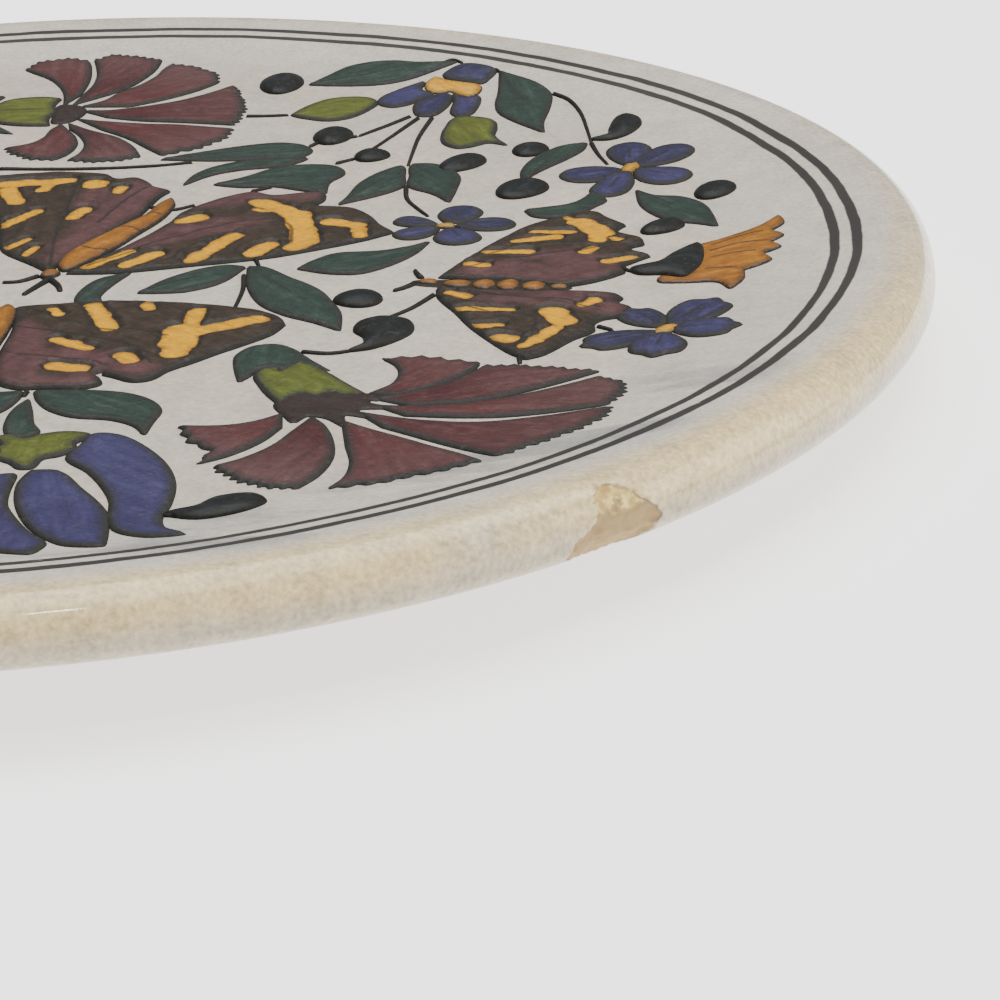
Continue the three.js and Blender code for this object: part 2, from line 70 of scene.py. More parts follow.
WELL_HEIGHT = CREST_HEIGHT - WELL_RISE
WAIST_HEIGHT = CREST_HEIGHT - RIM_DROP
LIP_RADIUS = PLATE_RADIUS - LIP_TUCK


def face_height(radius):
    """Height of the face at a radius, from the flat of the well out to the crest of the rim."""
    share = np.clip((np.asarray(radius, float) - FLAT_RADIUS) / CURL_WIDTH, 0, 1)
    return WELL_HEIGHT + WELL_RISE * np.sin(np.pi / 2 * share**CURL_POWER) ** 2


def quarter_arc(centre, wide, high, start, end, spacing):
    """Points along an ellipse's arc, about a spacing apart."""
    count = max(3, int(abs(math.radians(end - start)) * max(wide, high) / spacing))
    turns = np.radians(np.linspace(start, end, count + 1))
    return np.c_[centre[0] + wide * np.cos(turns), centre[1] + high * np.sin(turns)]


def body_profile():
    """The turned section, as radius and height, from the axis below, round the rim, to the axis above."""
    inner = FOOT_RADIUS - FOOT_WIDTH
    fine = 0.3
    foot = [
        (0.0, FOOT_HEIGHT), (30.0, FOOT_HEIGHT), (60.0, FOOT_HEIGHT), (inner - 2.5, FOOT_HEIGHT - 0.05),
        (inner - 1.0, FOOT_HEIGHT - 0.4), (inner - 0.2, FOOT_HEIGHT - 1.2),
        (inner + 0.5, FOOT_HEIGHT / 2), (inner + FOOT_TAPER, FOOT_BEVEL),
        (inner + FOOT_TAPER + FOOT_BEVEL * 0.3, FOOT_BEVEL * 0.3), (inner + FOOT_TAPER + FOOT_BEVEL, 0.0),
        (FOOT_RADIUS - FOOT_TAPER - FOOT_BEVEL, 0.0),
        (FOOT_RADIUS - FOOT_TAPER - FOOT_BEVEL * 0.3, FOOT_BEVEL * 0.3),
        (FOOT_RADIUS - FOOT_TAPER, FOOT_BEVEL), (FOOT_RADIUS - 0.5, FOOT_HEIGHT / 2),
        (FOOT_RADIUS - 0.1, FOOT_HEIGHT - 0.8), (FOOT_RADIUS + 0.4, FOOT_HEIGHT - 0.15),
        (FOOT_RADIUS + 1.5, FOOT_HEIGHT + 0.08),
    ]
    under_radii = np.linspace(FOOT_RADIUS + 4, LIP_RADIUS, 14)[:-1]
    slope = (WAIST_HEIGHT - LIP_DEPTH - FOOT_HEIGHT) / (LIP_RADIUS - FOOT_RADIUS)
    under = np.c_[under_radii, FOOT_HEIGHT + slope * (under_radii - FOOT_RADIUS)]
    lip = quarter_arc((LIP_RADIUS, WAIST_HEIGHT), LIP_TUCK, LIP_DEPTH, -90, 0, fine)
    roll = quarter_arc((CREST_RADIUS, WAIST_HEIGHT), RIM_ROLL, RIM_DROP, 0, 90, fine)[1:]
    face_radii = np.r_[np.arange(CREST_RADIUS - fine, 111, -fine), np.arange(111, FLAT_RADIUS - 2, -1.0),
                       np.linspace(FLAT_RADIUS - 4, 0, 22)]
    face = np.c_[face_radii, face_height(face_radii)]
    return np.vstack([foot, under, lip, roll, face])


# Where the flake of glaze is missing from the edge: corners as degrees round the plate from +X, and
# millimetres of arc down over the rim from its crest
FLAKE_CORNERS = [
    (-51.5, 1.6), (-51.0, 1.5), (-50.7, 2.0), (-50.2, 2.6), (-49.6, 3.9), (-49.0, 5.0), (-48.5, 5.8),
    (-48.3, 7.0), (-48.7, 8.6), (-49.6, 10.0), (-51.6, 10.7), (-53.4, 10.3), (-54.3, 9.0), (-54.2, 7.9),
    (-53.8, 6.8), (-52.9, 5.8), (-52.3, 5.0), (-52.1, 4.4), (-52.2, 2.8), (-51.8, 2.1),
]
FLAKE_DEPTH = 0.75
FLAKE_LEFT, FLAKE_RIGHT = -58.0, -46.0
FLAKE_MIDDLE, FLAKE_REACH = 6.0, 9.0
FINE_TURN, COARSE_TURN = 0.11, 1.0  # degrees between the mesh's columns at the flake and elsewhere
GLAZED = -3.0  # depth into the flake of every point that is well away from it


def segment_distance(points, a, b):
    """Distance from each point to the nearest of the segments from each a to its b."""
    along = b - a
    square = np.maximum((along**2).sum(1), 1e-12)
    t = np.clip(((points[:, None] - a) * along).sum(2) / square, 0, 1)
    gap = points[:, None] - (a + t[..., None] * along)
    return np.sqrt((gap**2).sum(2)).min(1)


def edge_distance(points, outline, batch=4000):
    """Distance from each point to a closed outline, and whether the point lies inside it."""
    a, b = outline, np.roll(outline, -1, axis=0)
    nearest = np.full(len(points), 1e9)
    inside = np.zeros(len(points), bool)
    for k in range(0, len(points), batch):
        some = points[k:k + batch]
        nearest[k:k + batch] = segment_distance(some, a, b)
        x, y = some[:, :1], some[:, 1:]
        rises = (a[:, 1] > y) != (b[:, 1] > y)
        with np.errstate(divide="ignore", invalid="ignore"):
            crossing = a[:, 0] + (y - a[:, 1]) * (b - a)[:, 0] / (b - a)[:, 1]
        inside[k:k + batch] = (rises & (x < crossing)).sum(1) % 2 == 1
    return nearest, inside


def wander(points, scale, seed):
    """Smooth noise from -1 to 1 at each point, whose lumps are about a scale across."""
    return np.array([noise.noise(Vector((x / scale, y / scale, seed))) for x, y in points])


def make_piece(name, vertices, faces, attributes, material):
    """A shown mesh from points in millimetres, with its per-point attributes, riding on the plate."""
    mesh = bpy.data.meshes.new(name)
    mesh.from_pydata((np.asarray(vertices) * MM).tolist(), [], faces)
    for label, values in attributes.items():
        values = np.asarray(values, np.float32)
        if values.ndim == 1:
            mesh.attributes.new(label, "FLOAT", "POINT").data.foreach_set("value", values)
        else:
            mesh.attributes.new(label, "FLOAT_VECTOR", "POINT").data.foreach_set("vector", values.ravel())
    mesh.polygons.foreach_set("use_smooth", [True] * len(mesh.polygons))
    mesh.update()
    piece = bpy.data.objects.new(name, mesh)
    bpy.context.scene.collection.objects.link(piece)
    piece.data.materials.append(material)
    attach(piece, "root")
    return piece


class Nodes:
    """Adds nodes to a tree and links what it is given: a socket is linked, and a value is set."""

    def __init__(self, tree):
        self.tree = tree

    def add(self, kind, inputs=(), **settings):
        node = self.tree.nodes.new(kind)
        for key, value in settings.items():
            setattr(node, key, value)
        return self.feed(node, inputs)

    def feed(self, node, inputs):
        for key, value in dict(inputs).items():
            if isinstance(value, bpy.types.NodeSocket):
                self.tree.links.new(value, node.inputs[key])
            else:
                node.inputs[key].default_value = value
        return node

    def math(self, operation, a, b=0.0):
        return self.add("ShaderNodeMath", {0: a, 1: b}, operation=operation).outputs[0]

    def plus(self, a, b):
        return self.math("ADD", a, b)

    def minus(self, a, b):
        return self.math("SUBTRACT", a, b)

    def times(self, a, b):
        return self.math("MULTIPLY", a, b)

    def vector(self, operation, a, inputs=()):
        return self.add("ShaderNodeVectorMath", {0: a, **dict(inputs)}, operation=operation).outputs

    def stretch(self, vector, scale):
        return self.add("ShaderNodeMapping", {"Vector": vector, "Scale": scale}).outputs[0]

    def step(self, value, low, high):
        """0 below low and 1 above high, smooth between them. High may be the lower number."""
        start, end = (1.0, 0.0) if low > high else (0.0, 1.0)
        inputs = {"Value": value, "From Min": min(low, high), "From Max": max(low, high),
                  "To Min": start, "To Max": end}
        return self.add("ShaderNodeMapRange", inputs, interpolation_type="SMOOTHSTEP").outputs[0]

    def mix(self, share, a, b):
        return self.add("ShaderNodeMix", {0: share, 6: a, 7: b}, data_type="RGBA").outputs[2]

    def noise(self, vector, scale, detail=3.0, roughness=0.55):
        inputs = {"Vector": vector, "Scale": scale, "Detail": detail, "Roughness": roughness}
        return self.add("ShaderNodeTexNoise", inputs).outputs[0]

    def attribute(self, name, output="Fac"):
        return self.add("ShaderNodeAttribute", attribute_name=name).outputs[output]


def node_group(name, inputs, outputs):
    """An empty shader node group with its sockets, its node helper, and its input and output nodes."""
    tree = bpy.data.node_groups.new(name, "ShaderNodeTree")
    for label, kind in inputs:
        tree.interface.new_socket(name=label, in_out="INPUT", socket_type=kind)
    for label, kind in outputs:
        tree.interface.new_socket(name=label, in_out="OUTPUT", socket_type=kind)
    n = Nodes(tree)
    return tree, n, n.add("NodeGroupInput"), n.add("NodeGroupOutput")


def new_material(name):
    """A material with its node helper and its Principled shader."""
    material = bpy.data.materials.new(name)
    material.use_nodes = True
    return material, Nodes(material.node_tree), material.node_tree.nodes["Principled BSDF"]


COLOUR, NUMBER, ARROW = "NodeSocketColor", "NodeSocketFloat", "NodeSocketVector"

# Dust and fine grit caught in the glaze, which both the body and the enamels show
SPECK = (0.16, 0.14, 0.12, 1)
grit, n, into, out = node_group(
    "kiln grit", [("Color", COLOUR), ("Place", ARROW), ("Amount", NUMBER)],
    [("Color", COLOUR), ("Height", NUMBER)])
fine_grain = n.noise(into.outputs["Place"], 1500.0, 2.0)
soft_cloud = n.noise(into.outputs["Place"], 260.0, 3.0)
specks = n.step(n.noise(into.outputs["Place"], 900.0, 1.0), 0.66, 0.74)
shade = n.times(into.outputs["Amount"], n.minus(fine_grain, 0.5))
cloud_shade = n.times(into.outputs["Amount"], n.minus(soft_cloud, 0.5))
lift = n.plus(1.0, n.plus(n.times(shade, 0.8), n.times(cloud_shade, 0.45)))
lifted = n.vector("SCALE", into.outputs["Color"], {"Scale": lift})[0]
speck_share = n.times(n.times(specks, into.outputs["Amount"]), 0.14)
dusted = n.mix(speck_share, lifted, SPECK)
n.feed(out, {"Color": dusted, "Height": n.plus(n.times(fine_grain, 0.4), soft_cloud)})

GLAZE_COOL = (0.67, 0.59, 0.495, 1)
GLAZE_WARM_AND_REFLECTION = (0.80, 0.60, 0.27, 1)
GLAZE_GREY = (0.60, 0.555, 0.495, 1)
GLAZE_PAINTED_SHADE = (0.40, 0.325, 0.225, 1)
GLAZE_PAINTED_REFLECTION = (0.33, 0.32, 0.30, 1)
CLAY_LIGHT = (0.92, 0.70, 0.25, 1)
CLAY = (0.60, 0.40, 0.14, 1)
CLAY_TAN = (0.40, 0.275, 0.125, 1)
CLAY_LINE = (0.16, 0.10, 0.06, 1)
RING_INK = (0.034, 0.030, 0.025, 1)
RING_BLEED = 0.12
# Where each tone sets in and is full: radii of the warm rim, which carries a painted warm reflection on
# its near side, and of the band of painted grey reflection, and heights over the bottom of the foot,
# which was wiped free of glaze
RIM_TONE = (111.5, 117.5)
REFLECTION_BAND_BEGIN, REFLECTION_BAND_END = (90.0, 100.0), (115.0, 110.0)
FOOT_WIPED = (0.75, 0.35)

glaze, n, shader = new_material("white glaze over buff clay")
place = n.add("ShaderNodeTexCoord").outputs["Object"]
apart = n.add("ShaderNodeSeparateXYZ", {0: place}).outputs
flat_place = n.add("ShaderNodeCombineXYZ", {0: apart[0], 1: apart[1]}).outputs[0]
radius = n.math("DIVIDE", n.vector("LENGTH", flat_place)["Value"], MM)
height = n.math("DIVIDE", apart[2], MM)
hand_wobble = n.minus(n.noise(flat_place, 70.0, 3.0), 0.5)
wide_cloud = n.noise(place, 28.0, 4.0)
base = n.mix(n.step(n.noise(place, 55.0, 4.0), 0.35, 0.7), GLAZE_COOL, GLAZE_GREY)
rim_share = n.step(radius, *RIM_TONE)
# The rim is painted a warm tone in clouds: faintly all round, and fully on the near side, where it is a
# painted warm reflection
near_side_warm_reflection = n.plus(0.3, n.times(n.step(apart[1], 0.02, -0.06), 0.7))
warm_tone_and_reflection_share = n.times(n.times(n.step(wide_cloud, 0.3, 0.52), rim_share), near_side_warm_reflection)
base = n.mix(n.times(warm_tone_and_reflection_share, 0.9), base, GLAZE_WARM_AND_REFLECTION)
# Painted shade: the glaze is painted darker and browner low on the rim, from a little above its waist
# downward
painted_shade_low = n.step(height, WAIST_HEIGHT + 3.2, WAIST_HEIGHT - 0.5)
base = n.mix(n.times(painted_shade_low, 0.92), base, GLAZE_PAINTED_SHADE)
# Painted reflection: a grey band round the well at the ring lines, faint all round and in strong streaks on
# the near side
reflection_band_share = n.times(n.step(radius, *REFLECTION_BAND_BEGIN), n.step(radius, *REFLECTION_BAND_END))
reflection_streaks = n.noise(n.stretch(flat_place, (30.0, 110.0, 1.0)), 1.0, 4.0)
near_painted_reflection = n.times(n.step(reflection_streaks, 0.46, 0.6), n.step(apart[1], -0.03, -0.07))
painted_reflection_share = n.times(n.plus(0.12, n.times(near_painted_reflection, 0.75)), reflection_band_share)
base = n.mix(painted_reflection_share, base, GLAZE_PAINTED_REFLECTION)
amount = n.plus(0.8, n.times(rim_share, 0.6))
gritty = n.add("ShaderNodeGroup", {"Color": base, "Place": place, "Amount": amount}, node_tree=grit)
base = gritty.outputs["Color"]
brush_weight = n.times(n.minus(n.noise(flat_place, 34.0, 2.0), 0.5), 0.5)
on_top = n.step(height, WELL_HEIGHT - 0.5, WELL_HEIGHT)
for ring, half in ((OUTER_RING, OUTER_RING_HALF), (INNER_RING, INNER_RING_HALF)):
    off_line = n.math("ABSOLUTE", n.minus(n.plus(radius, hand_wobble), ring))
    inked = n.step(n.minus(off_line, brush_weight), half + RING_BLEED, half - RING_BLEED)
    skipped = n.step(n.noise(place, 420.0, 2.0), 0.1, 0.3)
    inked = n.times(n.times(inked, on_top), skipped)
    base = n.mix(inked, base, RING_INK)
torn_depth = n.attribute("bare")
bare = n.step(torn_depth, -0.05, 0.12)
foot_bottom = n.step(height, *FOOT_WIPED)
clay_share = n.math("MAXIMUM", bare, foot_bottom)
crumbs = n.step(n.noise(place, 700.0, 4.0), 0.42, 0.6)
torn = n.mix(crumbs, CLAY, CLAY_LIGHT)
pits = n.step(n.noise(place, 480.0, 3.0), 0.48, 0.38)
torn = n.mix(n.times(pits, 0.6), torn, CLAY_LINE)
# Towards the bottom of the flake the bare clay is a darker tan, and its crumbs are smaller
tear = n.plus(height, n.times(n.minus(n.noise(place, 260.0, 3.0), 0.5), 2.5))
lower_flake_share = n.step(tear, WAIST_HEIGHT + 2.4, WAIST_HEIGHT + 1.8)
clay_colour = n.mix(lower_flake_share, torn, CLAY_TAN)
base = n.mix(clay_share, base, clay_colour)
chip_line = n.times(n.step(torn_depth, -0.16, -0.02), n.step(torn_depth, 0.24, 0.06))
chip_line = n.times(chip_line, n.step(n.noise(place, 500.0, 2.0), 0.4, 0.6))
base = n.mix(n.times(chip_line, 0.65), base, CLAY_LINE)
smudge = n.step(n.noise(place, 22.0, 3.0), 0.45, 0.7)
sheen_loss = n.plus(0.33, n.times(smudge, 0.14))
dullness = n.math("MAXIMUM", sheen_loss, n.times(clay_share, 0.85))
clear_coat = n.times(rim_share, n.minus(0.6, n.times(clay_share, 0.6)))
torn_share = n.times(clay_share, n.minus(1.0, n.times(lower_flake_share, 0.8)))
crumb_height = n.times(n.times(torn_share, n.noise(place, 1300.0, 5.0)), 3.5)
rough_height = n.plus(n.times(gritty.outputs["Height"], 0.45), crumb_height)
bump = n.add("ShaderNodeBump", {"Height": rough_height, "Strength": 0.35, "Distance": 0.0002})
n.feed(shader, {"Base Color": base, "Roughness": dullness, "Coat Weight": clear_coat,
                "Coat Roughness": 0.08, "Normal": bump.outputs[0]})

profile = body_profile()
arc = np.r_[0, np.cumsum(np.hypot(*np.diff(profile, axis=0).T))]
crest_row = int(np.argmax(profile[:, 1]))
down = arc[crest_row] - arc
coarse_turns = np.arange(FLAKE_RIGHT, 360 + FLAKE_LEFT, COARSE_TURN)
turns = np.radians(np.r_[np.arange(FLAKE_LEFT, FLAKE_RIGHT, FINE_TURN), coarse_turns])
grid_turn, grid_down = np.meshgrid(turns, down)
flake_outline = np.array([(math.radians(a) * PLATE_RADIUS, s) for a, s in FLAKE_CORNERS])
flake_points = np.c_[grid_turn.ravel() * PLATE_RADIUS, grid_down.ravel()]
in_fine_columns = np.degrees(grid_turn.ravel()) < FLAKE_RIGHT
near_flake = in_fine_columns & (abs(flake_points[:, 1] - FLAKE_MIDDLE) < FLAKE_REACH)
bare_depth = np.full(len(flake_points), GLAZED)
ragged = flake_points[near_flake]
distance, inside = edge_distance(ragged, flake_outline)
ragged_edge = 0.45 * wander(ragged, 0.9, 3.0) + 0.25 * wander(ragged, 0.35, 8.0)
bare_depth[near_flake] = np.where(inside, distance, -distance) + ragged_edge
sunk = np.zeros(len(flake_points))
hollows = 0.75 + 0.5 * wander(ragged, 1.6, 5.0) + 0.25 * wander(ragged, 0.5, 2.0)
sunk[near_flake] = FLAKE_DEPTH * np.clip(bare_depth[near_flake] / 0.6, 0, 1) ** 0.6 * hollows
tangent = np.gradient(profile, axis=0)
outward = np.c_[tangent[:, 1], -tangent[:, 0]]
outward /= np.maximum(np.linalg.norm(outward, axis=1), 1e-9)[:, None]
sunk = sunk.reshape(grid_turn.shape)
ring_radius = profile[:, :1] - sunk * outward[:, :1]
ring_height = profile[:, 1:] - sunk * outward[:, 1:]
points = np.stack([ring_radius * np.cos(grid_turn), ring_radius * np.sin(grid_turn), ring_height], axis=2)
rows, columns = grid_turn.shape
ring_points = points[1:-1].reshape(-1, 3)
poles = np.array([[0, 0, profile[0, 1]], [0, 0, profile[-1, 1]]])
vertices = np.vstack([ring_points, poles])
bare_values = np.r_[bare_depth.reshape(rows, columns)[1:-1].ravel(), GLAZED, GLAZED]
faces = []
for i in range(rows - 3):
    for j in range(columns):
        k = (j + 1) % columns
        faces.append((i * columns + j, i * columns + k, (i + 1) * columns + k, (i + 1) * columns + j))
bottom_pole, top_pole, last_row = len(ring_points), len(ring_points) + 1, (rows - 3) * columns
for j in range(columns):
    k = (j + 1) % columns
    faces.append((bottom_pole, k, j))
    faces.append((top_pole, last_row + j, last_row + k))
body = make_piece("thrown_body", vertices, faces, {"bare": bare_values}, glaze)
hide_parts("plate")

# Two holes for a hanging wire, drilled through the foot ring near the top of the plate. They are cut
# through the thrown body in the same places as in the CAD part.
foot_middle = FOOT_RADIUS - FOOT_WIDTH / 2
hole_spread = math.asin(HANG_HOLE_GAP / 2 / foot_middle)
sides = 20
steps = [2 * math.pi * k / sides for k in range(sides)]
hole_rim = [(HANG_HOLE_RADIUS * math.cos(a), HANG_HOLE_RADIUS * math.sin(a)) for a in steps]
ends = [(x, foot_middle + out, FOOT_HEIGHT / 2 + z)
        for out in (-FOOT_WIDTH, FOOT_WIDTH) for x, z in hole_rim]
walls = [(k, k + sides, (k + 1) % sides + sides, (k + 1) % sides) for k in range(sides)]
lids = [tuple(range(sides)), tuple(range(2 * sides - 1, sides - 1, -1))]
drills = []
for turn in (-hole_spread, hole_spread):
    spun = [Matrix.Rotation(turn, 3, "Z") @ Vector(point) * MM for point in ends]
    drill_mesh = bpy.data.meshes.new("drill")
    drill_mesh.from_pydata([tuple(v) for v in spun], [], walls + lids)
    drill = bpy.data.objects.new("drill", drill_mesh)
    bpy.context.scene.collection.objects.link(drill)
    cut = body.modifiers.new("hanging hole", "BOOLEAN")
    cut.operation = "DIFFERENCE"
    cut.solver = "EXACT"
    cut.object = drill
    drills.append(drill)
bpy.context.view_layer.update()
drilled = bpy.data.meshes.new_from_object(body.evaluated_get(bpy.context.evaluated_depsgraph_get()))
body.modifiers.clear()
body.data = drilled
for drill in drills:
    bpy.data.objects.remove(drill)

# Enamel figures: each is outlined with a raised line of dark slip and flooded with coloured glaze,
# which pools a little lower inside the line. This makes such a figure from its outline.
MESH_STEP = 0.42
EDGE_STEPS = [0.1, 0.26, 0.48, 0.8, 1.15]
# Heights over the face of the plate, at these distances in from a figure's edge
RELIEF_AT = [0.0, 0.1, 0.26, 0.48, 0.8, 1.15, 2.0, 4.0]
RELIEF = [-0.35, 0.07, 0.2, 0.34, 0.37, 0.34, 0.42, 0.5]
LINE_CREASE, LINE_HALF = 0.08, 0.35
CELL_LINE_AT, CELL_LINE_HALF = -0.6, 0.45
CELL_GROUND, CELL_LUMPS, POOL_SINK = 0.16, 0.2, 0.1
BURIED = -0.8
NO_LINE, NO_CELL = 9.0, -9.0  # distances that stand for none near


def spaced(outline, step):
    """A closed outline with its corners kept and points added about a step apart."""
    outline = np.asarray(outline, float)
    parts = []
    for a, b in zip(outline, np.roll(outline, -1, axis=0)):
        count = max(1, int(round(np.linalg.norm(b - a) / step)))
        parts.append(a + (b - a) * np.arange(count)[:, None] / count)
    points = np.vstack(parts)
    x, y = points.T
    clockwise = (x * np.roll(y, -1) - np.roll(x, -1) * y).sum() < 0
    return points[::-1] if clockwise else points


def line_distance(points, lines):
    """Distance from each point to the nearest of some open lines."""
    nearest = np.full(len(points), NO_LINE)
    for line in lines:
        nearest = np.minimum(nearest, segment_distance(points, line[:-1], line[1:]))
    return nearest


def figure(outline, paint, origin, heading, lines=(), cells=None, relief=RELIEF, tints=None):
    """One enamelled shape. Its brush marks run along its heading from its origin."""
    return dict(outline=outline, paint=paint, origin=origin, heading=math.radians(heading), lines=lines,
                cells=cells, relief=relief, tints=tints)


def filled(rim, step):
    """Points and triangles over a closed rim, finest along it, and the rim's own points in order."""
    before, after = np.roll(rim, 1, axis=0), np.roll(rim, -1, axis=0)
    run = (after - before) / np.maximum(np.linalg.norm(after - before, axis=1), 1e-9)[:, None]
    inward = np.c_[-run[:, 1], run[:, 0]]
    rings = []
    for offset in EDGE_STEPS:
        ring = rim + inward * offset
        gap, inside = edge_distance(ring, rim)
        rings.append(ring[inside & (gap > 0.94 * offset)])
    low, high = rim.min(0), rim.max(0)
    rows_y = np.arange(low[1], high[1], step * 0.9)
    fill = [(x + (k % 2) * step / 2, y) for k, y in enumerate(rows_y)
            for x in np.arange(low[0], high[0], step)]
    fill = np.array(fill).reshape(-1, 2)
    gap, inside = edge_distance(fill, rim)
    rings.append(fill[inside & (gap > EDGE_STEPS[-1] + 0.3 * step)])
    points = np.vstack([rim, *rings])
    found = delaunay_2d_cdt([Vector(p) for p in points], [], [list(range(len(rim)))], 1, 1e-4)
    rim_order = {s: k for k, sources in enumerate(found[3]) for s in sources if s < len(rim)}
    loop = [rim_order[s] for s in range(len(rim))]
    loop = [v for v, w in zip(loop, loop[1:] + loop[:1]) if v != w]
    return np.array([tuple(p) for p in found[0]]), found[2], loop


def raised_top(f, edge, line, cell, lumps):
    """How far a figure's top stands over the face: its relief, creases, and lumps between its pools."""
    raised = np.interp(edge, RELIEF_AT, f["relief"]) * (1 + 0.1 * lumps)
    raised += LINE_CREASE * np.exp(-(line / LINE_HALF) ** 2)
    if f["cells"]:
        ground = 1 - np.clip((cell + 0.5) / 0.7, 0, 1)
        ridge = ground * (CELL_GROUND + CELL_LUMPS * lumps) - POOL_SINK * (1 - ground)
        ridge += LINE_CREASE * np.exp(-((cell - CELL_LINE_AT) / CELL_LINE_HALF) ** 2)
        raised += ridge * np.clip((edge - 0.25) / 0.9, 0, 1)
    return raised


def enamel_piece(name, figures, material, step=MESH_STEP):
    """Every figure as a closed, low pillow of enamel on the face of the plate, in one mesh."""
    vertices, faces, attributes = [], [], {k: [] for k in ("edge", "line", "cell", "paint", "brush")}
    start = 0
    for seed, f in enumerate(figures):
        rim = spaced(f["outline"], step)
        top, triangles, loop = filled(rim, step)
        edge = edge_distance(top, rim)[0]
        edge[loop] = 0.0
        line = line_distance(top, f["lines"])
        cell = f["cells"](top) if f["cells"] else np.full(len(top), NO_CELL)
        raised = raised_top(f, edge, line, cell, wander(top, 3.6, seed * 0.7))
        under = top[loop]
        vertices.append(np.c_[top, face_height(np.hypot(*top.T)) + raised])
        vertices.append(np.c_[under, face_height(np.hypot(*under.T)) + BURIED])
        faces += [tuple(start + v for v in face) for face in triangles]
        count, size = len(top), len(loop)
        for k in range(size):
            m = (k + 1) % size
            faces.append((start + loop[m], start + loop[k], start + count + k, start + count + m))
        for a, b, c in tessellate_polygon([[Vector((x, y, 0)) for x, y in under]]):
            area = np.cross(under[b] - under[a], under[c] - under[a])
            order = (a, c, b) if area > 0 else (a, b, c)
            faces.append(tuple(start + count + v for v in order))
        turned = (top - f["origin"]) @ np.array([[math.cos(f["heading"]), -math.sin(f["heading"])],
                                                 [math.sin(f["heading"]), math.cos(f["heading"])]])
        paint = np.tile(f["paint"], (count, 1)) if f["tints"] is None else f["tints"](top)
        for label, values in (("edge", edge), ("line", line), ("cell", cell), ("paint", paint),
                              ("brush", np.c_[turned, np.full(count, seed * 7.3)])):
            attributes[label].append(values)
            attributes[label].append(values[loop])
        start += count + size
    joined = {k: np.concatenate(v) for k, v in attributes.items()}
    return make_piece(name, np.vstack(vertices), faces, joined, material)


# What every enamel shares: brushed glaze that is thin and pale where it ran off a high spot, dark
# where it pooled against the slip line, and the slip line itself, with an edge that bled in firing.
# The pale thin tone is laid in streaks, and on the domed buds it also stands in for a painted highlight.
trailed, n, into, out = node_group(
    "slip line and flooded glaze",
    [("Paint", COLOUR), ("Thin And Highlight", COLOUR), ("Slip", COLOUR), ("Line Width", NUMBER), ("Streaks", NUMBER),
     ("Root", NUMBER)],
    [("Color", COLOUR), ("Roughness", NUMBER), ("Height", NUMBER)])
edge = n.attribute("edge")
brush = n.attribute("brush", "Vector")
streaks = n.noise(n.stretch(brush, (0.13, 0.75, 1.0)), 1.0, 4.0, 0.6)
mottle = n.noise(brush, 0.55, 3.0)
fray = n.times(n.minus(n.noise(brush, 1.7, 3.0, 0.7), 0.5), 0.7)
frayed_edge = n.minus(n.plus(edge, fray), into.outputs["Line Width"])
slip_share = n.step(frayed_edge, 0.14, -0.14)
pooled = n.step(frayed_edge, 1.1, 0.1)
thin_and_highlight_spots = n.step(n.plus(streaks, n.times(mottle, 0.5)), 0.66, 1.06)
thin_and_highlight_share = n.times(thin_and_highlight_spots, into.outputs["Streaks"])
colour = n.mix(thin_and_highlight_share, into.outputs["Paint"], into.outputs["Thin And Highlight"])
colour = n.mix(n.times(n.step(streaks, 0.48, 0.24), 0.4), colour, into.outputs["Slip"])
colour = n.mix(n.times(pooled, 0.5), colour, into.outputs["Slip"])
along = n.math("ABSOLUTE", n.add("ShaderNodeSeparateXYZ", {0: brush}).outputs[0])
from_root = n.math("DIVIDE", along, into.outputs["Root"])
root_shade = n.step(n.plus(from_root, n.times(fray, 0.5)), 1.0, 0.35)
colour = n.mix(n.times(root_shade, 0.8), colour, into.outputs["Slip"])
inner_line = n.times(n.step(n.attribute("line"), 0.34, 0.14), 0.75)
colour = n.mix(inner_line, colour, into.outputs["Slip"])
slip_tone = n.mix(n.step(mottle, 0.35, 0.7), into.outputs["Slip"], (0.023, 0.023, 0.020, 1))
sheen_loss = n.plus(0.36, n.times(mottle, 0.2))
n.feed(out, {"Color": n.mix(slip_share, colour, slip_tone), "Height": n.plus(streaks, mottle),
             "Roughness": n.plus(sheen_loss, n.times(slip_share, 0.2))})

SLIP = (0.019, 0.018, 0.015, 1)
POOL_OCHRE = (0.40, 0.175, 0.008, 1)


def enamel(name, thin, width=0.85, streaks=0.6, cell_paint=None, root=0.01, sheen=0.3):
    """An enamel whose colour is each figure's own paint, with this pale tone where it is thin; on the buds
    the pale tone is also a painted highlight.
    """
    material, n, shader = new_material(name)
    paint = n.attribute("paint", "Vector")
    if cell_paint:
        cell = n.attribute("cell")
        inside_cell = n.step(cell, 0.12, 0.3)
        cell_edge = n.times(n.step(cell, -0.5, 0.0), n.step(cell, 0.36, 0.16))
        pool_cloud = n.times(n.noise(n.attribute("brush", "Vector"), 0.9, 3.0), 1.4)
        pool = n.mix(n.step(n.plus(cell, pool_cloud), 0.8, 1.6), POOL_OCHRE, cell_paint)
        paint = n.mix(inside_cell, paint, pool)
        paint = n.mix(n.times(cell_edge, 0.85), paint, SLIP)
    laid_on = {"Paint": paint, "Thin And Highlight": thin, "Slip": SLIP,
               "Line Width": width, "Streaks": streaks, "Root": root}
    flood = n.add("ShaderNodeGroup", laid_on, node_tree=trailed).outputs
    place = n.add("ShaderNodeTexCoord").outputs["Object"]
    dust = {"Color": flood["Color"], "Place": place, "Amount": 0.9}
    gritty = n.add("ShaderNodeGroup", dust, node_tree=grit).outputs
    relief = n.plus(flood["Height"], n.times(gritty["Height"], 0.6))
    bump = n.add("ShaderNodeBump", {"Height": relief, "Strength": 0.5, "Distance": 0.00025})
    n.feed(shader, {"Base Color": gritty["Color"], "Roughness": flood["Roughness"],
                    "Specular IOR Level": sheen, "Normal": bump.outputs[0]})
    return material


